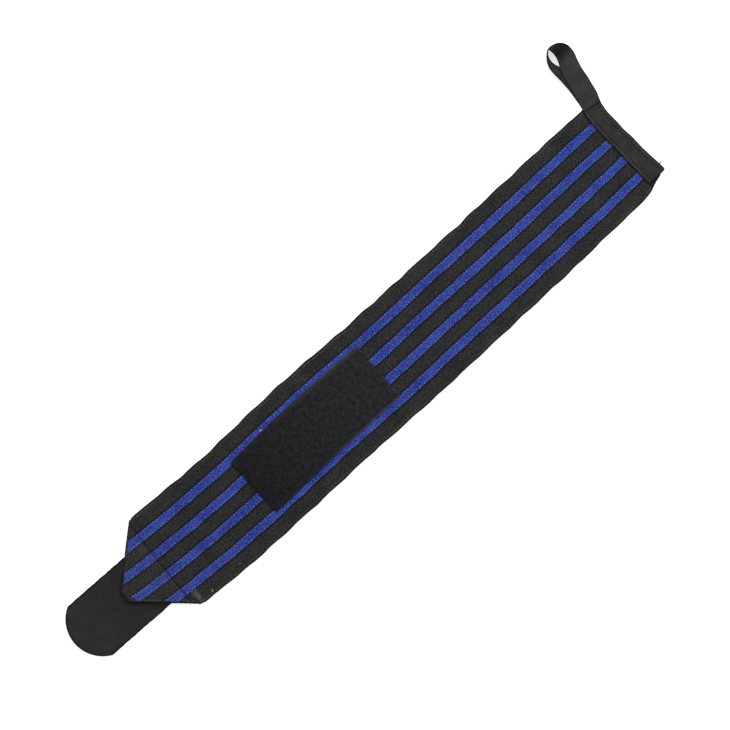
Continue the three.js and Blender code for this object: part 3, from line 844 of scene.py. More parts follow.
plain_reach = RIM_PLAIN + TIP_PLAIN * far * near_tip
plain = in_fold * (1 - ease(fold_gap, plain_reach + PLAIN_BLEND[0], plain_reach + PLAIN_BLEND[1]))
turned_under = in_fold * (1 - ease(fold_gap, *FOLD_TURN[0])) * ease(fold_gap, *FOLD_TURN[1])
seam_places = np.linspace(-BAND_WIDTH / 2, BAND_WIDTH / 2, SEAM_FADES)
seam_fading = np.interp(flat_across, seam_places, seam_fade)
seam_fading = seam_fading * (1 - SEAM_LOOP_FADE * ease(flat_across, *SEAM_LOOP_SIDE))
painted_shade = np.maximum.reduce([
    SEAM_SHADE * seam_share(flat_along, flat_across) * seam_fading,
    CREASE_SHADE * crease_share(flat_along, flat_across),
    SELVEDGE_SHADE * (1 - ease(edge_gaps, *SELVEDGE_DARK)),
    np.where(far, FOLD_SHADE[-1], FOLD_SHADE[1]) * turned_under,
    TIP_SHADE * (1 - ease(flat_along, *TIP_BEND)),
    TAPE_SHADE * covered * far,
])
print(f"the deepest shade takes {painted_shade.max():.0%} of the light")

# %% [markdown]
# ## From a surface to a cloth with two faces
# A sheet is kept as the surface in its middle. Its two faces lie half a thickness away along the normals,
# and a strip with a rounded middle joins them round every free edge, as a selvedge is round. A Solidify
# modifier could do this with one thickness, but here the weave makes it change from point to point. One
# function serves all four cloths. It finds the free edges as those that only one face uses.

# %% The helper that closes a sheet


def close_sheet(points, quads, upper, lower, bulge):
    """Both faces and the rounded rim of a sheet. A normal is the sum of the cross products of the diagonals
    of the quads round a point. The rim stands out by bulge along edge cross normal. Also returns, for each
    new point, the number of the point that it was made from."""
    count = len(points)
    corner = points[quads]
    square = np.cross(corner[:, 2] - corner[:, 0], corner[:, 3] - corner[:, 1])
    normal = np.zeros_like(points)
    np.add.at(normal, quads.ravel(), np.repeat(square, 4, axis=0))
    normal /= np.linalg.norm(normal, axis=1, keepdims=True)
    start, stop = quads.ravel().astype(np.int64), np.roll(quads, -1, axis=1).ravel().astype(np.int64)
    free = ~np.isin(stop * count + start, start * count + stop)
    start, stop = start[free], stop[free]
    out = np.zeros_like(points)
    sideways = np.cross(points[stop] - points[start], normal[start])
    np.add.at(out, start, sideways)
    np.add.at(out, stop, sideways)
    rim = np.unique(start)
    out = out[rim] / np.linalg.norm(out[rim], axis=1, keepdims=True)
    rim_number = np.zeros(count, int)
    rim_number[rim] = 2 * count + np.arange(len(rim))
    middle = points[rim] + normal[rim] * ((upper - lower)[rim, None] / 2) + out * bulge
    solid = np.concatenate([points + normal * upper[:, None], points - normal * lower[:, None], middle])
    faces = [
        quads,
        quads[:, ::-1] + count,
        np.stack([start, rim_number[start], rim_number[stop], stop], axis=1),
        np.stack([rim_number[start], start + count, stop + count, rim_number[stop]], axis=1),
    ]
    return solid, faces, np.concatenate([np.arange(count), np.arange(count), rim])


corners = np.array([[0, 0, 0], [0, 1, 0], [1, 0, 0], [1, 1, 0.0]])
thick = np.full(len(corners), 0.5)
solid, faces, source = close_sheet(corners, grid_faces(np.arange(4).reshape(2, 2)), thick, thick, 0.1)
print(f"a square of {len(corners)} points becomes a cloth of {len(solid)} points")

# %% [markdown]
# ## How points become a piece
# One helper moves the points into the part's frame and hands them to Blender, so every object sits at the
# origin with its place in its mesh. The same helper hides the solid of the imported part that the piece
# stands for, and gives the piece its material.

# %% The helper that makes a piece
WRAP_ORIGIN = np.array([-227.9025, -23.3663, 0.0])  # the tip of the point in the part's frame, in mm


def make_piece(name, node, points, faces, material, cloth=None, marks=None):
    """Makes one object from points in mm, which stands for a node and fills a material slot. faces is a
    list of arrays of point numbers. cloth gives each point's place on the flat cut in mm, which becomes the
    UV map, and marks gives named numbers for each point."""
    mesh = bpy.data.meshes.new(name)
    corners = [face for part in faces for face in part.tolist()]
    mesh.from_pydata(((points + WRAP_ORIGIN) * MM).tolist(), [], corners)
    mesh.polygons.foreach_set("use_smooth", np.ones(len(mesh.polygons), bool))
    if cloth is not None:
        used = np.empty(len(mesh.loops), np.int32)
        mesh.loops.foreach_get("vertex_index", used)
        layer = mesh.uv_layers.new(name="cloth")
        layer.data.foreach_set("uv", cloth[used].astype(np.float32).ravel())
    for label, values in (marks or {}).items():
        attribute = mesh.attributes.new(label, "FLOAT", "POINT")
        attribute.data.foreach_set("value", values.astype(np.float32))
    mesh.materials.append(material)
    mesh.update()
    piece = bpy.data.objects.new(name, mesh)
    bpy.context.scene.collection.objects.link(piece)
    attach(piece, "root")
    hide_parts(node)
    size = points.max(axis=0) - points.min(axis=0)
    print(f"{name}: {len(corners)} faces, {size.round(1)} mm")
    return piece


print(f"the tip of the point is {np.linalg.norm(WRAP_ORIGIN):.0f} mm from the frame's origin")

# %% [markdown]
# ## The band itself
# The relief of the weave is on both faces, as it is in cloth. The painted light and wear are on the upper
# face alone.

# %% The band
SELVEDGE_BULGE = 0.35

woven = in_weave(flat_places)
relief = band_relief(flat_along, flat_across, woven[:, 1], edge_gaps)
upper = BAND_THICK / 2 + relief
lower = BAND_THICK / 2 + relief - relief.max()
solid, faces, source = close_sheet(sheet_points, np.concatenate(band_faces), upper, lower, SELVEDGE_BULGE)
on_top = np.arange(len(source)) < len(flat_places)
band = make_piece("elastic_band_cloth", "elastic_band", solid, faces, elastic, woven[source], {
    "ticks": ticks[source],
    "wear_and_painted_light": wear_and_painted_light[source] * on_top,
    "painted_shade": painted_shade[source],
    "plain": plain[source],
})

# %% [markdown]
# ## Threads as tubes
# Four cloths become one wrap by stitching, and the fastener on it is made of loops and hooks. All of these
# are threads, so one function puts round tubes on many paths at once. Curve objects with a bevel could do it
# too, but thousands of them would be slow.

# %% Tubes
UP = np.array([0, 0, 1.0])


def thread_tubes(paths, guide, radius, sides):
    """Closed tubes round many paths at once. At each ring, the tangent is the difference of the neighbouring
    points, and the wall stands off by the radius at even angles in the plane square to it. guide is a
    direction that no tangent has, from which the angles are counted."""
    count, rings = paths.shape[:2]
    tangent = np.gradient(paths, axis=1)
    first = np.cross(tangent, guide)
    first /= np.linalg.norm(first, axis=-1, keepdims=True)
    second = np.cross(tangent, first)
    second /= np.linalg.norm(second, axis=-1, keepdims=True)
    angle = 2 * np.pi * np.arange(sides)[:, None] / sides
    circle = np.cos(angle) * first[:, :, None] + np.sin(angle) * second[:, :, None]
    points = paths[:, :, None] + radius * circle
    index = np.arange(count * rings * sides).reshape(count, rings, sides)
    ahead = np.roll(index, -1, axis=2)
    wall = np.stack([index[:, :-1], ahead[:, :-1], ahead[:, 1:], index[:, 1:]], axis=-1).reshape(-1, 4)
    return points.reshape(-1, 3), [wall, index[:, 0, ::-1], index[:, -1]]


points, faces = thread_tubes(np.array([[[0, 0, 0], [1.0, 0, 0]]]), UP, 0.5, 6)
print(f"a straight tube with six sides has {len(points)} points and {sum(map(len, faces))} faces")

# %% [markdown]
# ## Stitches
# A stitch is a short length of thread that rises out of the cloth, lies on it, and dives back in. Seen at
# full size it is a dark dash in a shallow groove. Stitches differ a little, so each is moved by chance.

# %% Paths of stitches
STITCH_RINGS = 6
STITCH_SIDES = 6
THREAD_RADIUS = 0.21
STITCH_RISE = 0.1
STITCH_DIP = 0.22
STITCH_STRAY = 0.06
STITCH_SEED = 11

stitch_random = np.random.default_rng(STITCH_SEED)


def stitch_paths(line, pitch, share, side):
    """Stitches laid end to end along a line of points, each on its share of the pitch. The height is the
    rise less the fourth power of the place between -1 and 1, so a stitch is flat on top and steep at both
    ends. side is 1 on an upper face and -1 on a lower one."""
    place = np.concatenate([[0], np.cumsum(np.linalg.norm(np.diff(line, axis=0), axis=1))])
    count = int(place[-1] / pitch)
    t = np.linspace(0, 1, STITCH_RINGS)
    at = (np.arange(count)[:, None] + (1 - share) / 2 + share * t) * place[-1] / count
    paths = np.stack([np.interp(at, place, line[:, i]) for i in range(3)], axis=-1)
    paths[..., :2] += stitch_random.normal(0, STITCH_STRAY, (count, 1, 2))
    paths[..., 2] += side * (STITCH_RISE - (STITCH_RISE + STITCH_DIP) * (2 * t - 1) ** 4)
    return paths


print(f"sewing thread {2 * THREAD_RADIUS:.2f} mm thick, {STITCH_RINGS * STITCH_SIDES} points to a stitch")

# %% [markdown]
# ## Spun thread
# Sewing thread is spun from short polyester fibres, which makes it matt and a little uneven. Its fibres are
# too fine for the picture, so the noise is drawn coarser. The thread is black, and it is darker than the
# cloths by painted shade, because it lies in its groove.

# %% Spun thread material
FIBRE_SIZE = 0.6 * MM

sewing_thread, tree = new_material("spun_polyester_thread")
place = add(tree, "TexCoord", give="Object")
fibres = add(tree, "TexNoise", {"Vector": place, "Scale": 1 / FIBRE_SIZE, "Detail": 2.0})
# black thread, darkened further by the painted shade of its groove
dye = add(tree, "Mix", {FACTOR: fibres, FIRST: linear("#121212"), SECOND: linear("#242425")},
          BLEND, data_type="RGBA")
bump = add(tree, "Bump", {"Height": fibres, "Strength": 0.4, "Distance": 0.05 * MM})
shader = add(tree, "BsdfPrincipled", {
    "Base Color": dye,
    "Roughness": 0.7,
    "IOR": 1.55,
    "Specular IOR Level": 0.15,
    "Normal": bump,
})
add(tree, "OutputMaterial", {"Surface": shader})
print(f"{sewing_thread.name}: {len(tree.nodes)} nodes")

# %% [markdown]
# ## The seam of the point
# One row of stitches crosses the point. It holds down both folded corners and the tab beneath them. The line
# of the seam is known on the flat cloth, so it is carried to the band's upper face first, and then stitched.

# %% Stitches of the point
SEAM_PITCH = 2.6
SEAM_REACH = (-32.5, 33.5)
SEAM_STITCH_SHARE = 0.8
SEAM_POINTS = 60


def sew(name, node, pitch, share, above, below=()):
    """One piece with the stitches of several lines, first those on an upper face, then those on a lower."""
    paths = [stitch_paths(line, pitch, share, 1) for line in above]
    paths = np.concatenate(paths + [stitch_paths(line, pitch, share, -1) for line in below])
    points, faces = thread_tubes(paths, UP, THREAD_RADIUS, STITCH_SIDES)
    make_piece(name, node, points, faces, sewing_thread)
    print(f"{name}: {len(paths)} stitches")


def on_band(along, across):
    """Points on the band's upper face, without the weave's relief but with the groove of the seam."""
    x, y = plan(along, across)
    groove = SEAM_DEPTH * seam_share(along, across)
    return np.stack([x, y, band_lift(along, across) + BAND_THICK - groove], axis=-1)


across = np.linspace(*SEAM_REACH, SEAM_POINTS)
seam_line = on_band(SEAM_MIDDLE + SEAM_SLANT * across, across)
sew("point_stitches", "elastic_band", SEAM_PITCH, SEAM_STITCH_SHARE, [seam_line])

# %% [markdown]
# ## Brushed pile
# The patch is the soft half of a hook-and-loop fastener: a woven tape with thousands of fine nylon loops,
# brushed so that they stand tangled. To the eye that is a deep, dull black with soft blotches and no gloss.
# Single fibres are far too fine for the picture, so the noise has the size of tufts and of tangles of tufts.
# The nap leans away from the point, so towards its far end the tangles catch more light.

# %% Brushed pile material
PATCH_LENGTH = 123.0
TUFT_SIZE = 1.3
TANGLE_SIZE = 3.4
TANGLE_SHARE = 0.5  # how much the tangles add to the tone of the tufts
NAP_LIGHT = 0.72  # and how much more at the far end
PILE_TONES = (0.42, 1.25)

pile, tree = new_material("brushed_nylon_loop_pile")
place = add(tree, "UVMap", uv_map="cloth")
along_cloth = add(tree, "SeparateXYZ", {"Vector": place}, "X")
tufts = add(tree, "TexNoise", {"Vector": place, "Scale": 1 / TUFT_SIZE, "Detail": 4.0, "Roughness": 0.65},
            noise_dimensions="2D")
tangles = add(tree, "TexNoise", {"Vector": place, "Scale": 1 / TANGLE_SIZE, "Detail": 2.0},
              noise_dimensions="2D")
both = add(tree, "Math", {0: tangles, 1: TANGLE_SHARE, 2: tufts}, operation="MULTIPLY_ADD")
nap = add(tree, "MapRange", {"Value": along_cloth, "From Max": PATCH_LENGTH, "To Max": NAP_LIGHT})
lit = add(tree, "Math", {0: tangles, 1: nap, 2: both}, operation="MULTIPLY_ADD")
level = add(tree, "MapRange", {"Value": lit, "From Min": PILE_TONES[0], "From Max": PILE_TONES[1]})
fuzz = add(tree, "Mix", {FACTOR: level, FIRST: linear("#121214"), SECOND: linear("#323235")},
           BLEND, data_type="RGBA")
# the bare selvedge and cut end, and painted highlights on pale loops
bare_and_highlight = add(tree, "Attribute", give="Fac", attribute_name="bare_and_highlight")
shown = add(tree, "Mix", {FACTOR: bare_and_highlight, FIRST: fuzz, SECOND: linear("#53524e")}, BLEND, data_type="RGBA")
bump = add(tree, "Bump", {"Height": both, "Strength": 0.6, "Distance": 0.2 * MM})
shader = add(tree, "BsdfPrincipled", {
    "Base Color": shown,
    "Roughness": 0.95,
    "IOR": 1.53,
    "Specular IOR Level": 0.08,
    "Normal": bump,
})
add(tree, "OutputMaterial", {"Surface": shader})
print(f"{pile.name}: {len(tree.nodes)} nodes")

# %% [markdown]
# ## How the patch lies
# The patch is sewn to the band at a slight turn, and its loop side is let out a little in the middle. One
# function carries any place on the flat patch there, for its tape, its loops and its stitches.

# %% Lay of the patch
PATCH_WIDTH = 47.5
PATCH_THICK = 1.8
PATCH_START = 122.5  # from the tip of the point
PATCH_TURN = math.radians(0.7)
LET_OUT_AT = np.array([0, 20, 45, 80, 105, 123.0])
LET_OUT = np.array([0.1, 0.7, 0.95, 0.8, 0.5, 0.3])


def on_patch(lengthwise, sideways, height):
    """Points of the patch: turned about its middle, moved out by what its loop side is let out, then laid
    on the band. height is over the patch's lower face."""
    along = PATCH_START + lengthwise
    let_out = np.interp(lengthwise, LET_OUT_AT, LET_OUT) * ease(sideways, 0, PATCH_WIDTH / 2)
    across = sideways + let_out + math.tan(PATCH_TURN) * (lengthwise - PATCH_LENGTH / 2)
    x, y = plan(along, across)
    return np.stack([x, y, band_lift(along, 0 * across) + BAND_THICK + PLY_GAP + height], axis=-1)


print(f"the patch is let out by up to {LET_OUT.max()} mm")

# %% [markdown]
# ## The height of the pile
# Its loops are far too many to make one by one, so the patch is a fuzzy surface first. That is a grid of
# heights: tufts and tangles of the pile, low at the cut ends, sunk along the stitches, and down to the bare
# selvedge at both sides, where no loops are woven in.

# %% Height of the pile
PATCH_STEP = 0.5
PATCH_STITCH_INSET = 2.3
BARE_THICK = 0.8
PILE_EDGE = (1.3, 2.3)  # from the side, where the pile begins and where it is full
PILE_LEVEL = 1.5
TUFT_HEIGHT = 0.09
TUFT_CELLS = 1.2  # sizes in steps of the grid
TUFT_SEED = 21
TANGLE_HEIGHT = 0.03
TANGLE_CELLS = 4.0
TANGLE_SEED = 22
CUT_LEVEL = 0.72  # share of its height that the pile has at a cut end
CUT_SLOPE = 1.2
SEWN_WIDTH = 0.5
SEWN_DEPTH = 0.3

lengthwise = np.linspace(0, PATCH_LENGTH, round(PATCH_LENGTH / PATCH_STEP) + 1)
sideways = np.linspace(-PATCH_WIDTH / 2, PATCH_WIDTH / 2, round(PATCH_WIDTH / PATCH_STEP) + 1)
lengthwise, sideways = np.meshgrid(lengthwise, sideways, indexing="ij")
from_side = PATCH_WIDTH / 2 - np.abs(sideways)
from_cut = np.minimum(lengthwise, PATCH_LENGTH - lengthwise)
piled = ease(from_side, *PILE_EDGE)
tuft = TUFT_HEIGHT * soft_noise(piled.shape, TUFT_CELLS, TUFT_SEED)
tuft = tuft + TANGLE_HEIGHT * soft_noise(piled.shape, TANGLE_CELLS, TANGLE_SEED)
pile_top = (PILE_LEVEL + tuft) * (CUT_LEVEL + (1 - CUT_LEVEL) * ease(from_cut, 0, CUT_SLOPE))
sewn = bell(np.minimum(from_side, from_cut) - PATCH_STITCH_INSET, SEWN_WIDTH)
patch_top = np.minimum(BARE_THICK + (pile_top - BARE_THICK) * piled - SEWN_DEPTH * sewn, PATCH_THICK)
print(f"the pile stands {patch_top.min():.2f} to {patch_top.max():.2f} mm high")

# %% [markdown]
# ## The patch as a surface
# Near the point, brushing has spread the pile over the edges of its tape, and the cut ends aren't quite
# straight. The heights stand on this surface, and the lower face is smooth.

# %% Surface of the patch
PATCH_BULGE = 0.2
BRUSHED_OUT = 0.017  # the share of its width by which brushing has spread the pile near the point
BRUSHED_RANGE = (60.0, 118.0)
CUT_WANDER = 0.25  # how far the cut ends stray from straight
CUT_WANDER_CELLS = 3.0
CUT_WANDER_DEPTH = 3.0
CUT_SEED = 23

cut_shape = (1, sideways.shape[1])
wander = CUT_WANDER * soft_noise(cut_shape, CUT_WANDER_CELLS, CUT_SEED)
wander = wander * np.sign(lengthwise - PATCH_LENGTH / 2)
cut_place = lengthwise + wander * (1 - ease(from_cut, 0, CUT_WANDER_DEPTH))
spread_out = 1 + BRUSHED_OUT * (1 - ease(lengthwise, *BRUSHED_RANGE))
middle = on_patch(cut_place, sideways * spread_out, PATCH_THICK / 2).reshape(-1, 3)
index = np.arange(lengthwise.size).reshape(lengthwise.shape)
upper = (patch_top - PATCH_THICK / 2).ravel()
lower = np.full(lengthwise.size, PATCH_THICK / 2)
solid, faces, source = close_sheet(middle, grid_faces(index), upper, lower, PATCH_BULGE)
patch_cloth = np.stack([lengthwise, sideways], axis=-1).reshape(-1, 2)
print(f"{len(solid)} points on the patch, and brushing has spread it by {BRUSHED_OUT * PATCH_WIDTH:.1f} mm")

# %% [markdown]
# ## The patch itself
# Along the far half, the selvedge shows as a thin pale line, with pale dots between the stitches beside it
# on the loop side, and the far cut end as a faint broken line. These are one more mark on the mesh.

# %% The patch
PATCH_STITCH_PITCH = 2.8
SELVEDGE_PALE = 0.75
SELVEDGE_LINE = (0.3, 0.4)  # a pale line's distance from the edge, and its width
DOT_PALE = 0.55
DOT_LINE = (2.2, 0.5)
PALE_RANGE = (35.0, 90.0)
BROKEN_PALE = 0.2
BROKEN_CELLS = 1.5
BROKEN_SEED = 24
CUT_LINE = (0.3, 0.5)

dots = 0.5 + 0.5 * np.cos(2 * np.pi * (lengthwise - PATCH_STITCH_INSET) / PATCH_STITCH_PITCH)
side_line = SELVEDGE_PALE * bell(from_side - SELVEDGE_LINE[0], SELVEDGE_LINE[1])
dot_line = DOT_PALE * dots * bell(from_side - DOT_LINE[0], DOT_LINE[1]) * (sideways > 0)
broken = BROKEN_PALE + BROKEN_PALE * soft_noise(cut_shape, BROKEN_CELLS, BROKEN_SEED)
cut_line = broken * bell(PATCH_LENGTH - lengthwise - CUT_LINE[0], CUT_LINE[1])
pale_lines = np.maximum((side_line + dot_line) * ease(lengthwise, *PALE_RANGE), cut_line)
bare_share = np.clip(pale_lines, 0, 1).ravel()
patch = make_piece("pile_patch_tape", "pile_patch", solid, faces, pile,
                   patch_cloth[source], {"bare_and_highlight": bare_share[source]})

# %% [markdown]
# ## Loops of the pile
# Some thousands of coarser loops stand out of the fuzzy surface and break up its face and its outline. Real
# ones are far finer, and would be lost in the picture. They stand in rows, strayed by chance, with their
# feet in the surface.

# %% Where the loops stand
LOOP_SPACING = 1.1
LOOP_MARGIN = (0.8, 2.6)  # free at the cut ends and at the sides
LOOP_STRAY = 0.45
LOOP_SUNK = 0.15  # how deep their feet lie in the surface
LOOP_SEED = 31

loop_random = np.random.default_rng(LOOP_SEED)
stand_u = np.arange(LOOP_MARGIN[0], PATCH_LENGTH - LOOP_MARGIN[0], LOOP_SPACING)
stand_v = np.arange(-PATCH_WIDTH / 2 + LOOP_MARGIN[1], PATCH_WIDTH / 2 - LOOP_MARGIN[1], LOOP_SPACING)
stand = np.stack(np.meshgrid(stand_u, stand_v, indexing="ij"), axis=-1).reshape(-1, 2)
stand = stand + loop_random.uniform(-LOOP_STRAY, LOOP_STRAY, stand.shape)
cell = np.round((stand + [0, PATCH_WIDTH / 2]) / PATCH_STEP).astype(int)
row, column = np.clip(cell, 0, np.array(patch_top.shape) - 1).T
foot = patch_top[row, column] - LOOP_SUNK
print(f"{len(stand)} loops in {len(stand_u)} rows")

# %% [markdown]
# ## The loops themselves
# Each loop is half an ellipse that faces its own way. The loops are tubes with three sides, because nobody
# sees more on a thread this thin. A few are paler, more of them at the far end, with a painted highlight
# where they catch the light.

# %% Loops
LOOP_HALF = 0.5
LOOP_HEIGHT = 0.42
LOOP_TALL = (0.7, 1.1)  # how far single loops differ from that
LOOP_RADIUS = 0.085
LOOP_RINGS = 5
LOOP_SIDES = 3
PALE_LOOPS = 0.08  # share of loops that catch the light
PALE_LEAN = 1.6  # what divides that share at the near end; at the far end it is 1 less
PALE_LOOP = 0.3

t = np.pi * np.linspace(0, 1, LOOP_RINGS)
facing = loop_random.uniform(0, 2 * np.pi, len(stand))
tall = LOOP_HEIGHT * loop_random.uniform(*LOOP_TALL, len(stand))
reach = LOOP_HALF * np.cos(t)
loop_u = stand[:, :1] + np.cos(facing)[:, None] * reach
loop_v = stand[:, 1:] + np.sin(facing)[:, None] * reach
paths = on_patch(loop_u, loop_v, foot[:, None] + tall[:, None] * np.sin(t))
guide = np.stack([-np.sin(facing), np.cos(facing), np.zeros_like(facing)], axis=1)[:, None]
points, faces = thread_tubes(paths, guide, LOOP_RADIUS, LOOP_SIDES)
loop_cloth = np.repeat(np.stack([loop_u, loop_v], axis=-1).reshape(-1, 2), LOOP_SIDES, axis=0)
pale = PALE_LOOPS > loop_random.uniform(0, 1, len(stand)) * (PALE_LEAN - stand[:, 0] / PATCH_LENGTH)
pale_share = np.repeat(PALE_LOOP * pale, LOOP_RINGS * LOOP_SIDES)
make_piece("pile_loops", "pile_patch", points, faces, pile, loop_cloth, {"bare_and_highlight": pale_share})
print(f"{pale.sum()} of the loops are pale")

# %% [markdown]
# ## Stitches of the patch
# Four rows of stitches hold the patch, one along each side. They go through the band and show on its lower
# face as well, where they are pressed in almost flush.

# %% Stitches of the patch
PATCH_STITCH_SHARE = 0.75
PATCH_STITCH_LEVEL = BARE_THICK + 0.35
SIDE_POINTS = 80
CUT_POINTS = 40
UNDER_SINK = 0.22  # how deep the threads lie in a lower face

inset_u = PATCH_LENGTH - PATCH_STITCH_INSET
inset_v = PATCH_WIDTH / 2 - PATCH_STITCH_INSET
run_u = np.linspace(PATCH_STITCH_INSET, inset_u, SIDE_POINTS)
run_v = np.linspace(-inset_v, inset_v, CUT_POINTS)


def patch_rows(level):
    """The two rows along the patch's sides and the two along its cut ends, at one height."""
    sides = [on_patch(run_u, 0 * run_u + end * inset_v, level) for end in (-1, 1)]
    return sides + [on_patch(0 * run_v + end, run_v, level) for end in (PATCH_STITCH_INSET, inset_u)]


rows_above = patch_rows(PATCH_STITCH_LEVEL)
rows_below = patch_rows(UNDER_SINK - BAND_THICK - PLY_GAP)
sew("patch_stitches", "pile_patch", PATCH_STITCH_PITCH, PATCH_STITCH_SHARE, rows_above, rows_below)

# %% [markdown]
# ## Coated nylon tape
# The tab is the hard half of the fastener, and it lies with its hooks down, so the eye sees the smooth back
# of a tightly woven nylon tape. A coating there holds the hooks, which makes it dull grey-black and almost
# even, with a faint weave. Heat has sealed its cut edges, and they are darker. Near the point, the same mark
# gives painted shade from the point's edge.

# %% Coated nylon tape material
BACK_WEAVE = 0.9
BACK_BLOTCH = 9.0
BLOTCH_TONES = (0.6, 1.4)

tape_back, tree = new_material("woven_nylon_tape_with_coated_back")
place = add(tree, "UVMap", uv_map="cloth")
weave = add(tree, "TexNoise", {"Vector": place, "Scale": 1 / BACK_WEAVE, "Detail": 3.0, "Roughness": 0.6},
            noise_dimensions="2D")
blotch = add(tree, "TexNoise", {"Vector": place, "Scale": 1 / BACK_BLOTCH, "Detail": 2.0},
             noise_dimensions="2D")
both = add(tree, "Math", {0: weave, 1: blotch}, operation="ADD")
level = add(tree, "MapRange", {"Value": both, "From Min": BLOTCH_TONES[0], "From Max": BLOTCH_TONES[1]})
dye = add(tree, "Mix", {FACTOR: level, FIRST: linear("#262626"), SECOND: linear("#323232")},
          BLEND, data_type="RGBA")
# sealed edges, and painted shade near the point
sealed_and_shaded = add(tree, "Attribute", give="Fac", attribute_name="sealed_and_shaded")
edged = add(tree, "Mix", {FACTOR: sealed_and_shaded, FIRST: dye, SECOND: linear("#0e0e0f")}, BLEND, data_type="RGBA")
bump = add(tree, "Bump", {"Height": weave, "Strength": 0.3, "Distance": 0.08 * MM})
shader = add(tree, "BsdfPrincipled", {
    "Base Color": edged,
    "Roughness": 0.65,
    "IOR": 1.53,
    "Specular IOR Level": 0.12,
    "Normal": bump,
})
add(tree, "OutputMaterial", {"Surface": shader})
print(f"{tape_back.name}: {len(tree.nodes)} nodes")

# %% [markdown]
# ## Outline of the tab
# The end of the tab is cut to an arc, a little out of square. An arc through two corners that rises by a
# known height has a known radius, so its circle gives the place where each lengthwise yarn starts.

# %% Outline of the tab
TAB_REACH = 48.5  # how far the tab stands out beyond the tip of the point
TAB_HIDDEN = 36.0  # how far it runs back under the point
TAB_END_RISE = 14.5
TAB_END_SLANT = 1.6

half = TAB_WIDTH / 2
loop_corner = np.array([TAB_END_RISE - TAB_REACH - TAB_END_SLANT / 2, half])
far_corner = np.array([TAB_END_RISE - TAB_REACH + TAB_END_SLANT / 2, -half])
chord = math.hypot(TAB_WIDTH, TAB_END_SLANT)
arc_radius = (chord ** 2 / 4 + TAB_END_RISE ** 2) / (2 * TAB_END_RISE)
inward = np.array([TAB_WIDTH, TAB_END_SLANT]) / chord
arc_centre = (loop_corner + far_corner) / 2 + inward * (arc_radius - TAB_END_RISE)


def arc_start(sideways):
    """Where the cut end lies at a place across the tab: on a circle, so that from its centre
    radius^2 = x^2 + y^2."""
    return arc_centre[0] - np.sqrt(arc_radius ** 2 - (sideways - arc_centre[1]) ** 2)


# %% [markdown]
# ## The tab as a surface
# The grid's columns run lengthwise from the arc to the hidden end, close together at both sides, where small
# bumps of the selvedge need them. The tape is only 0.5 mm thick. The rest of the tab's thickness is the room
# for its hooks.

# %% Surface of the tab
TAB_SIDEWAYS = 0.2
TAB_TURN = math.radians(-1.1)
TAB_BACK = 0.5  # the tape without its hooks
TAB_STEP = 0.8
TAB_COLUMNS = 61
TAB_BULGE = 0.12
TAB_NUB_HEIGHT = 0.1
TAB_NUB_CELLS = 1.2
TAB_NUB_SEED = 41
TAB_NUB_POWER = 12  # keeps the bumps to the outermost columns


def on_tab(lengthwise, sideways, height):
    """Points of the tab, turned a little about the tip of the point and moved sideways."""
    x = lengthwise * math.cos(TAB_TURN) - sideways * math.sin(TAB_TURN)
    y = lengthwise * math.sin(TAB_TURN) + sideways * math.cos(TAB_TURN) + TAB_SIDEWAYS
    return np.stack([x, y, height + 0 * x], axis=-1)


share = np.linspace(0, 1, round((TAB_REACH + TAB_HIDDEN) / TAB_STEP) + 1)[:, None]
sideways = half * np.sin(np.linspace(-np.pi / 2, np.pi / 2, TAB_COLUMNS))[None]
lengthwise = arc_start(sideways) + (TAB_HIDDEN - arc_start(sideways)) * share
loop_nubs, far_nubs = (TAB_NUB_HEIGHT * soft_noise((len(share), 1), TAB_NUB_CELLS, TAB_NUB_SEED + side)
                       for side in (1, -1))
tab_nubs = np.where(sideways > 0, loop_nubs, far_nubs) * np.abs(sideways / half) ** TAB_NUB_POWER
wide = sideways + tab_nubs
index = np.arange(lengthwise.size).reshape(lengthwise.shape)
middle = on_tab(lengthwise, wide, TAB_THICK - TAB_BACK / 2).reshape(-1, 3)
back = np.full(lengthwise.size, TAB_BACK / 2)
solid, faces, source = close_sheet(middle, grid_faces(index), back, back, TAB_BULGE)
tab_cloth = np.stack([lengthwise, wide], axis=-1).reshape(-1, 2)
print(f"{len(solid)} points on the tab")

# %% [markdown]
# ## The tab itself
# Its sealed edges and its painted shade are one mark on the mesh.

# %% The tab
SEALED_EDGE = 0.8  # how dark heat has made the tab's edges
SEALED_REACH = (0.8, 1.7)
TAB_SHADE = 0.22  # painted shade from the point's edge: towards the point, the tab is a little darker
TAB_SHADED = (-26.0, -8.0)

from_edge = np.minimum(half - np.abs(sideways), lengthwise - arc_start(sideways))
sealed_edge = SEALED_EDGE * (1 - ease(from_edge, *SEALED_REACH))
sealed_and_shaded = np.maximum(sealed_edge, TAB_SHADE * ease(lengthwise, *TAB_SHADED)).ravel()
tab = make_piece("hook_tab_tape", "hook_tab", solid, faces, tape_back,
                 tab_cloth[source], {"sealed_and_shaded": sealed_and_shaded[source]})

# %% [markdown]
# ## Hooks under the tab
# Underneath stand rows of small hooks, each a nylon thread that was woven as a loop, heated so that it stays
# bent, and cut through on one side. The same short profile serves them all, and every second row is turned
# the other way. Smooth nylon has a clear gloss.

# %% Hooks
HOOK_SPACING = (1.5, 1.3)
HOOK_REACH = np.array([0, 0.02, 0.12, 0.35, 0.58, 0.66])
HOOK_HEIGHT = np.array([0.75, 0.45, 0.2, 0.1, 0.17, 0.34])
HOOK_RADIUS = 0.09
HOOK_SIDES = 4
HOOK_MARGIN = 2.0
SIDEWAYS = np.array([0, 1.0, 0])

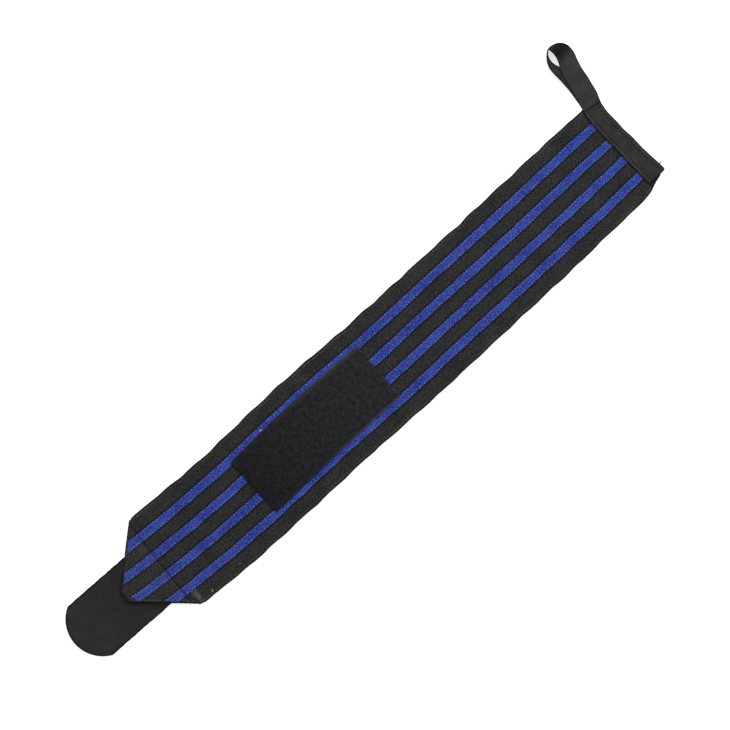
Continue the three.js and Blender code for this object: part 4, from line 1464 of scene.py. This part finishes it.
hook_nylon, tree = new_material("moulded_nylon_thread")
shader = add(tree, "BsdfPrincipled", {
    "Base Color": linear("#303032"),
    "Roughness": 0.35,
    "IOR": 1.53,
    "Specular IOR Level": 0.5,
})
add(tree, "OutputMaterial", {"Surface": shader})
hook_u = np.arange(-TAB_REACH, TAB_HIDDEN - HOOK_MARGIN, HOOK_SPACING[0])
hook_v = np.arange(-half + HOOK_MARGIN, half - HOOK_MARGIN, HOOK_SPACING[1])
hook_u, hook_v = np.meshgrid(hook_u, hook_v, indexing="ij")
turned = np.where(np.arange(hook_v.shape[1]) % 2, 1, -1) + 0 * hook_v
kept = hook_u > arc_start(hook_v) + HOOK_MARGIN
hook_u, hook_v, turned = hook_u[kept][:, None], hook_v[kept][:, None], turned[kept][:, None]
paths = on_tab(hook_u + turned * HOOK_REACH, hook_v + 0 * HOOK_REACH, HOOK_HEIGHT)
points, faces = thread_tubes(paths, SIDEWAYS, HOOK_RADIUS, HOOK_SIDES)
make_piece("tab_hooks", "hook_tab", points, faces, hook_nylon)
print(f"{len(paths)} hooks")

# %% [markdown]
# ## Ribbed tape
# The binding is a polyester tape with fine ribs across it, dull and a little uneven. Its weft shows as short
# streaks across the tape, so the noise is stretched that way. As on the band, painted light and
# painted shade are marks on the mesh. A strand that stands on edge would mirror the bright table, so there
# is hardly any gloss.

# %% Ribbed tape material
WEFT_STREAK = (1 / 0.7, 1 / 2.5, 1.0)  # streaks of 0.7 by 2.5 mm
TAPE_BLOTCH = 8.0

ribbed, tree = new_material("ribbed_polyester_binding_tape")
place = add(tree, "UVMap", uv_map="cloth")
stretched = add(tree, "VectorMath", {0: place, 1: WEFT_STREAK}, operation="MULTIPLY")
weft = add(tree, "TexNoise", {"Vector": stretched, "Scale": 1.0, "Detail": 2.0}, noise_dimensions="2D")
blotch = add(tree, "TexNoise", {"Vector": place, "Scale": 1 / TAPE_BLOTCH, "Detail": 2.0},
             noise_dimensions="2D")
both = add(tree, "Math", {0: weft, 1: blotch}, operation="ADD")
level = add(tree, "MapRange", {"Value": both, "From Min": BLOTCH_TONES[0], "From Max": BLOTCH_TONES[1]})
dye = add(tree, "Mix", {FACTOR: level, FIRST: linear("#2b2a2a"), SECOND: linear("#3d3c3a")},
          BLEND, data_type="RGBA")
# painted light
wear_and_painted_light = add(tree, "Attribute", give="Fac", attribute_name="wear_and_painted_light")
paled = add(tree, "Mix", {FACTOR: wear_and_painted_light, FIRST: dye, SECOND: linear("#5c5a56")}, BLEND, data_type="RGBA")
# painted shade
painted_shade = add(tree, "Attribute", give="Fac", attribute_name="painted_shade")
dark = add(tree, "Mix", {FACTOR: painted_shade, FIRST: paled, SECOND: linear("#101011")}, BLEND, data_type="RGBA")
bump = add(tree, "Bump", {"Height": weft, "Strength": 0.35, "Distance": 0.08 * MM})
shader = add(tree, "BsdfPrincipled", {
    "Base Color": dark,
    "Roughness": 0.8,
    "IOR": 1.55,
    "Specular IOR Level": 0.05,
    "Normal": bump,
})
add(tree, "OutputMaterial", {"Surface": shader})
print(f"{ribbed.name}: {len(tree.nodes)} nodes")

# %% [markdown]
# ## The thumb loop
# One tape does two jobs. It lies over and under the band's square end, which binds the cut edge. Between
# these two runs it goes on past the band's side and turns back on itself, which leaves a loop for the thumb.
# The tape can bend but not stretch sideways, so it is a strip between two edge curves. For the loop, a row
# of the table gives a point on each edge, and a smooth curve runs through the rows.

# %% Edges of the loop
LOOP_POINTS = 801
# From where the loop leaves the band to where it comes back: band side x, y, z, then outer edge x, y, z.
LOOP = np.array([
    [-6.2, 0.0, 3.2, 8.0, 0.0, 3.2],
    [-4.5, 8.3, 3.8, 9.9, 6.0, 3.4],
    [-1.1, 24.0, 7.0, 13.4, 21.7, 5.6],
    [0.9, 32.4, 8.6, 15.1, 30.0, 6.7],
    [3.2, 37.7, 10.3, 17.0, 37.5, 5.8],
    [4.6, 41.8, 12.4, 16.8, 44.0, 3.9],
    [5.0, 46.6, 14.1, 12.8, 49.2, 1.8],
    [4.0, 50.2, 14.8, 5.8, 50.8, 0.5],
    [1.2, 48.4, 14.9, 1.8, 47.5, 0.4],
    [-2.0, 44.7, 14.8, 0.6, 43.4, 0.4],
    [-4.0, 40.3, 14.4, 0.8, 39.5, 0.4],
    [-4.5, 36.0, 13.5, 2.2, 35.8, 0.4],
    [-4.3, 31.0, 11.3, 5.4, 31.6, 0.4],
    [-4.1, 23.5, 7.0, 8.2, 24.5, 0.4],
    [-4.5, 14.5, 3.4, 8.5, 15.0, 0.4],
    [-5.2, 6.5, 1.2, 8.2, 6.5, 0.4],
    [-6.2, 0.0, 0.4, 8.0, 0.0, 0.4],
])


def curve_through(table, at):
    """A curve through the rows of a table: between two rows it is the cubic whose slope at each of them is
    half the difference of that row's neighbours."""
    padded = np.concatenate([2 * table[:1] - table[1:2], table, 2 * table[-1:] - table[-2:-1]])
    row = np.minimum(at.astype(int), len(table) - 2)
    t = (at - row)[:, None]
    before, start, stop, after = (padded[row + i] for i in range(4))
    leave, arrive = (stop - before) / 2, (after - start) / 2
    return (start + leave * t + (3 * (stop - start) - 2 * leave - arrive) * t ** 2
            + (2 * (start - stop) + leave + arrive) * t ** 3)


loop_edges = curve_through(LOOP, np.linspace(0, len(LOOP) - 1, LOOP_POINTS))[1:-1]
print(f"the loop stands {loop_edges[:, 2::3].max():.1f} mm high")

# %% [markdown]
# ## The path of the tape
# The tape starts on the band, goes round the loop and comes back under the band. On both of these runs, its
# two edges are the curves that were set down with the crease.

# %% Path of the tape
TAPE_LOW = TAPE_THICK / 2  # the middle of the run under the band, and of the run on it
TAPE_HIGH = TAPE_THICK * 1.5 + PLY_GAP * 2 + BAND_THICK
RUN_POINTS = 141
UPWARD = np.array([0, 0, 1.0, 0, 0, 1.0])  # in a row of the table, the two heights

run = np.linspace(RUN_ACROSS[0], RUN_ACROSS[-1], RUN_POINTS)
run_edges = np.stack([
    smooth_through(RUN_ACROSS, RUN_BAND_EDGE, run), run, 0 * run,
    smooth_through(RUN_ACROSS, RUN_OUTER_EDGE, run), run, 0 * run,
], axis=1)
edges = np.concatenate([run_edges + UPWARD * TAPE_HIGH, loop_edges, run_edges[::-1] + UPWARD * TAPE_LOW])
step = np.linalg.norm(np.diff((edges[:, :3] + edges[:, 3:]) / 2, axis=0), axis=1)
path_length = np.concatenate([[0], np.cumsum(step)])
run_length = path_length[len(run) - 1]
tape_length = path_length[-1]
print(f"the tape is {tape_length:.0f} mm long, {tape_length - 2 * run_length:.0f} mm of it in the loop")

# %% [markdown]
# ## The tape as a surface
# Rows of points run from one edge to the other at even steps along the middle, four to each rib, so the ribs
# follow the bends. The edges stray a little, the tape's cut corners are rounded, and past the band's cut end
# the upper run sinks almost to the lower one.

# %% Surface of the tape
TAPE_WIDTH = 14.0
TAPE_RIB_PITCH = 1.2
ROWS_PER_TAPE_RIB = 4
TAPE_COLUMNS = 28
CORNER_ROUND = 1.3
EDGE_WANDER = (0.12, 0.2)  # how far the band-side and outer edges stray
EDGE_WANDER_CELLS = 12.0
EDGE_SEED = 51
OVERHANG_DROP = 1.8
OVERHANG_WIDTH = 2.7
OVERHANG_RANGE = (-14.0, -1.5)  # it ends before the loop's root

tape_rows = np.linspace(0, tape_length, round(tape_length / TAPE_RIB_PITCH) * ROWS_PER_TAPE_RIB + 1)
edges = np.stack([np.interp(tape_rows, path_length, edges[:, i]) for i in range(6)], axis=1)
outward = edges[:, 3:] - edges[:, :3]
outward /= np.linalg.norm(outward, axis=1, keepdims=True)
stray = soft_noise((len(tape_rows), 1), EDGE_WANDER_CELLS, EDGE_SEED) * EDGE_WANDER
edges = edges + np.concatenate([outward * stray[:, :1], outward * stray[:, 1:]], axis=1)
edges[:, 2::3] = np.maximum(edges[:, 2::3], TAPE_LOW)  # neither edge goes below the table
from_end = np.minimum(tape_rows, tape_length - tape_rows)
cut_in = CORNER_ROUND - np.sqrt(CORNER_ROUND ** 2 - np.maximum(CORNER_ROUND - from_end, 0) ** 2)
narrowed = (1 - 2 * cut_in / TAPE_WIDTH)[:, None]
share = 0.5 + (np.linspace(0, 1, TAPE_COLUMNS) - 0.5) * narrowed  # 0 at the outer edge, 1 at the band side
tape_points = edges[:, None, 3:] * (1 - share[..., None]) + edges[:, None, :3] * share[..., None]
from_outer = share * TAPE_WIDTH
from_band = TAPE_WIDTH - from_outer
on_upper = (tape_rows <= run_length)[:, None]
past_band = 1 - ease(from_outer, 0, OVERHANG_WIDTH)
sink = OVERHANG_DROP * (1 - ease(tape_points[..., 1], *OVERHANG_RANGE)) * past_band
tape_points[..., 2] -= sink * on_upper
print(f"{share.size} points on the tape's surface")

# %% [markdown]
# ## Ribs and seams of the tape
# Two rows of stitches run along the tape on the band, and one more seam crosses the loop's root. Thread
# pulls the tape in, deeper at each stitch than between two of them. So the outer face lies half the tape's
# thickness from its middle, less the ribs and less the deeper of these grooves.

# %% Relief of the tape
TAPE_RIB_HEIGHT = 0.1
BAND_ROW_INSET = 2.1  # the two rows of stitches
OUTER_ROW_INSET = 2.9
ROW_WIDTH = 0.45
ROW_GROOVE = 0.2
ROW_END = 1.5  # the rows stop this far from the loop's root
BINDING_PITCH = 2.75
STITCH_SHARPNESS = 1.5
BETWEEN_STITCHES = 0.4  # share of the groove's depth between two stitches
ROOT_SEAM = (-2.6, -0.4)  # where a seam crosses the loop's root, at the outer edge and at the band side
ROOT_SEAM_WIDTH = 0.65
FACE_GAP = 0.02  # by which the inner face lies closer to the tape's middle

on_run = (from_end <= run_length)[:, None]
rib = TAPE_RIB_HEIGHT * (0.5 - 0.5 * np.cos(2 * np.pi * tape_rows / TAPE_RIB_PITCH))[:, None]
two_rows = bell(from_band - BAND_ROW_INSET, ROW_WIDTH) + bell(from_outer - OUTER_ROW_INSET, ROW_WIDTH)
sewn_rows = np.minimum(two_rows, 1) * on_run
seam_place = ROOT_SEAM[0] + (ROOT_SEAM[1] - ROOT_SEAM[0]) * share
first_half = (tape_rows < tape_length / 2)[:, None]
root_seam = bell(tape_points[..., 1] - seam_place, ROOT_SEAM_WIDTH) * first_half
row_length = run_length - ROW_END - CORNER_ROUND
stitch_count = int(row_length / BINDING_PITCH)
stitch_phase = (tape_rows - CORNER_ROUND) / row_length * stitch_count
stitch_wave = (0.5 - 0.5 * np.cos(2 * np.pi * stitch_phase))[:, None]
on_stitch = (on_upper * stitch_wave) ** STITCH_SHARPNESS
dimples = sewn_rows * (BETWEEN_STITCHES + (1 - BETWEEN_STITCHES) * on_stitch)
outer_face = TAPE_THICK / 2 - rib - ROW_GROOVE * np.maximum(dimples, root_seam)
inner_face = np.full(share.size, TAPE_THICK / 2 - FACE_GAP)
print(f"{stitch_count} stitches in each row on the upper face")

# %% [markdown]
# ## Painted light and shade on the tape
# The loop's tip stands steep and gets painted shade, less on the back strand, and between its two strands
# the loop is in painted shade too, as are the tape's edges, its cut end and the seam across the loop's root.
# Its front strand faces up and gets a little painted light. On the band, the tape bulges beside its edge and
# gets a painted highlight there, and the cloth under each stitch is pulled down into painted shade. These
# are marks as on the band.

# %% Marks of the tape
LOOP_TIP_SHADE_REACH = (34.0, 44.5)  # the painted shade of the tip begins and is full at these distances from the root
LOOP_TIP_SHADE = 0.95
BACK_SHADE = 0.45  # past the tip, the back strand has only this share of it
TIP_TURN = 4.0  # the tape's length from the one to the other
EDGE_DARK = 0.6
EDGE_DARK_WIDTH = 0.6
STRAND_SHADE = 0.4  # between its two strands, but not near its root
STRAND_REACH = (12.0, 24.0)
STITCH_DARK = 0.8
THREAD_DARK = 0.15  # share of that between two stitches
ROOT_DARK = 0.55
# painted light on the front strand, which faces up
FRONT_STRAND_LIGHT = 0.1
RIM_PALE = 0.15
RIM_LINE = (0.9, 0.6)  # the bulge's distance from the edge, and its width

past_tip = ease(tape_rows, tape_length / 2, tape_length / 2 + TIP_TURN)[:, None]
loop_tip_dark = LOOP_TIP_SHADE * ease(tape_points[..., 1], *LOOP_TIP_SHADE_REACH) * (1 - (1 - BACK_SHADE) * past_tip)
on_back = (tape_rows > tape_length / 2)[:, None]
on_front = ~on_upper & ~on_back
between = STRAND_SHADE * on_front * ease(tape_points[..., 1], *STRAND_REACH)
outer_dark = EDGE_DARK * bell(from_outer, EDGE_DARK_WIDTH)
band_dark = (EDGE_DARK * on_back + between) * bell(from_band, EDGE_DARK_WIDTH)
end_dark = EDGE_DARK * bell(from_end, EDGE_DARK_WIDTH)[:, None] * on_upper + 0 * share
stitch_dark = STITCH_DARK * sewn_rows * (THREAD_DARK + (1 - THREAD_DARK) * on_stitch)
root_dark = ROOT_DARK * root_seam
tape_painted_shade = np.maximum.reduce([loop_tip_dark, outer_dark, band_dark, end_dark, stitch_dark, root_dark]).ravel()
rim_pale = RIM_PALE * bell(from_band - RIM_LINE[0], RIM_LINE[1]) * on_upper
tape_painted_light = (rim_pale + FRONT_STRAND_LIGHT * on_front).ravel()
print(f"{np.mean(tape_painted_shade > 0.5):.0%} of the points on the tape are dark")

# %% [markdown]
# ## The tape itself
# The helper that closes a sheet needs only the middle surface and the two faces. The tape's flat length is
# the length of the path.

# %% The tape
TAPE_BULGE = 0.2

index = np.arange(share.size).reshape(share.shape)
middle = (tape_points + TAPE_ROOT).reshape(-1, 3)
solid, faces, source = close_sheet(middle, grid_faces(index), outer_face.ravel(), inner_face, TAPE_BULGE)
tape_cloth = np.stack([tape_rows[:, None] + 0 * share, from_outer], axis=-1).reshape(-1, 2)
tape = make_piece("thumb_loop_binding", "thumb_loop_tape", solid, faces, ribbed,
                  tape_cloth[source], {"painted_shade": tape_painted_shade[source], "wear_and_painted_light": tape_painted_light[source]})

# %% [markdown]
# ## Stitches of the binding
# The lines of these stitches are columns of the tape's own grid, so they follow its path without more work:
# the two rows on the upper run, the same two on the lower one, and the seam across the loop's root.

# %% Stitches of the binding
BINDING_SHARE = 0.5
ROOT_SEAM_MARGIN = 2  # columns at each edge of the tape without stitches
FAR_OFF = 1000.0  # added to the distance from the seam on the loop's second half

row_lift = [0, 0, TAPE_THICK / 2 - ROW_GROOVE / 2]
under_lift = [0, 0, UNDER_SINK - TAPE_LOW]
upper_rows = np.flatnonzero((tape_rows > CORNER_ROUND) & (tape_rows < run_length - ROW_END))
lower_start, lower_stop = tape_length - run_length + ROW_END, tape_length - CORNER_ROUND
lower_rows = np.flatnonzero((tape_rows > lower_start) & (tape_rows < lower_stop))
tape_lines = []
under_lines = []
for inset in (TAPE_WIDTH - BAND_ROW_INSET, OUTER_ROW_INSET):
    column = np.argmin(np.abs(from_outer[upper_rows[0]] - inset))
    tape_lines.append(tape_points[upper_rows, column] + TAPE_ROOT + row_lift)
    under_lines.append(tape_points[lower_rows, column] + TAPE_ROOT + under_lift)
from_seam = np.abs(tape_points[..., 1] - seam_place) + FAR_OFF * ~first_half
seam_row = np.argmin(from_seam, axis=0)
seam_line = tape_points[seam_row, np.arange(TAPE_COLUMNS)] + TAPE_ROOT + row_lift
tape_lines.append(seam_line[ROOT_SEAM_MARGIN:-ROOT_SEAM_MARGIN])
sew("binding_stitches", "thumb_loop_tape", BINDING_PITCH, BINDING_SHARE, tape_lines, under_lines)

# %% [markdown]
# ## A thread end
# A cut end of the binding's thread stands out at its corner. It is one short tube on a bent path. It is
# thicker than the stitches, because its plies have opened.

# %% Thread end
STUB_PLACE = np.array([496.0, -26.1, 1.7])
STUB_BEND = np.array([[0, 0, 0], [0.5, 0, 0.1], [1.0, 0.1, 0.15], [1.5, 0.2, 0.1], [1.8, 0.4, 0]])
STUB_RADIUS = 0.4

points, faces = thread_tubes((STUB_PLACE + STUB_BEND)[None], UP, STUB_RADIUS, STITCH_SIDES)
make_piece("thread_end", "thumb_loop_tape", points, faces, sewing_thread)

# %% [markdown]
# ## Lint
# The cloth has picked up a few pale specks. Lint is a tangle of short cotton fibres, so each speck is a
# handful of thin tubes, each bent into a shallow parabola, that lie on the band at random angles. A pale dot
# in the material would do from above, but from the side it would be flat.

# %% Lint
LINT_SPOTS = np.array([[154.5, 26.0], [52.2, -37.6], [79.6, -35.4]])  # along the band and across it
LINT_FIBRES = np.array([16, 10, 4])
LINT_RADIUS = 0.07
LINT_RINGS = 6
LINT_SIDES = 4
LINT_LEVEL = 0.2
LINT_SPREAD = 0.4
LINT_FLATNESS = np.array([1, 1, 0.2])
LINT_CURL = 0.2
LINT_REACH = (0.4, 0.9)
LINT_ARCH = 0.1
LINT_SEED = 61

cotton, tree = new_material("loose_cotton_fibre")
shader = add(tree, "BsdfPrincipled", {"Base Color": linear("#b4b5b8"), "Roughness": 0.9})
add(tree, "OutputMaterial", {"Surface": shader})
lint_random = np.random.default_rng(LINT_SEED)
spots = np.repeat(LINT_SPOTS, LINT_FIBRES, axis=0)
x, y = plan(spots[:, 0], spots[:, 1])
middle = np.stack([x, y, band_lift(spots[:, 0], spots[:, 1]) + BAND_THICK + LINT_LEVEL], axis=-1)
middle = middle + lint_random.normal(0, LINT_SPREAD, middle.shape) * LINT_FLATNESS
facing, curl = lint_random.uniform(-np.pi, np.pi, (2, len(spots), 1)) * [[[1]], [[LINT_CURL]]]
reach = lint_random.uniform(*LINT_REACH, (len(spots), 1))
t = np.linspace(-1, 1, LINT_RINGS)
forward, aside = reach * t, reach * curl * t ** 2
bend = np.stack([
    forward * np.cos(facing) - aside * np.sin(facing),
    forward * np.sin(facing) + aside * np.cos(facing),
    LINT_ARCH * (1 - t ** 2) + 0 * forward,
], axis=-1)
points, faces = thread_tubes(middle[:, None] + bend, UP, LINT_RADIUS, LINT_SIDES)
make_piece("lint_specks", "elastic_band", points, faces, cotton)

# %% [markdown]
# ## Sizes
# Looks must not change the size of the object, so the last cell prints by how much at most the box of what
# was made here differs from the box of the imported part.

# %% Sizes
difference = np.abs(np.array(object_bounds()) - np.array(cad_box)) / MM
print(f"the two boxes differ by {difference.max():.1f} mm at most")
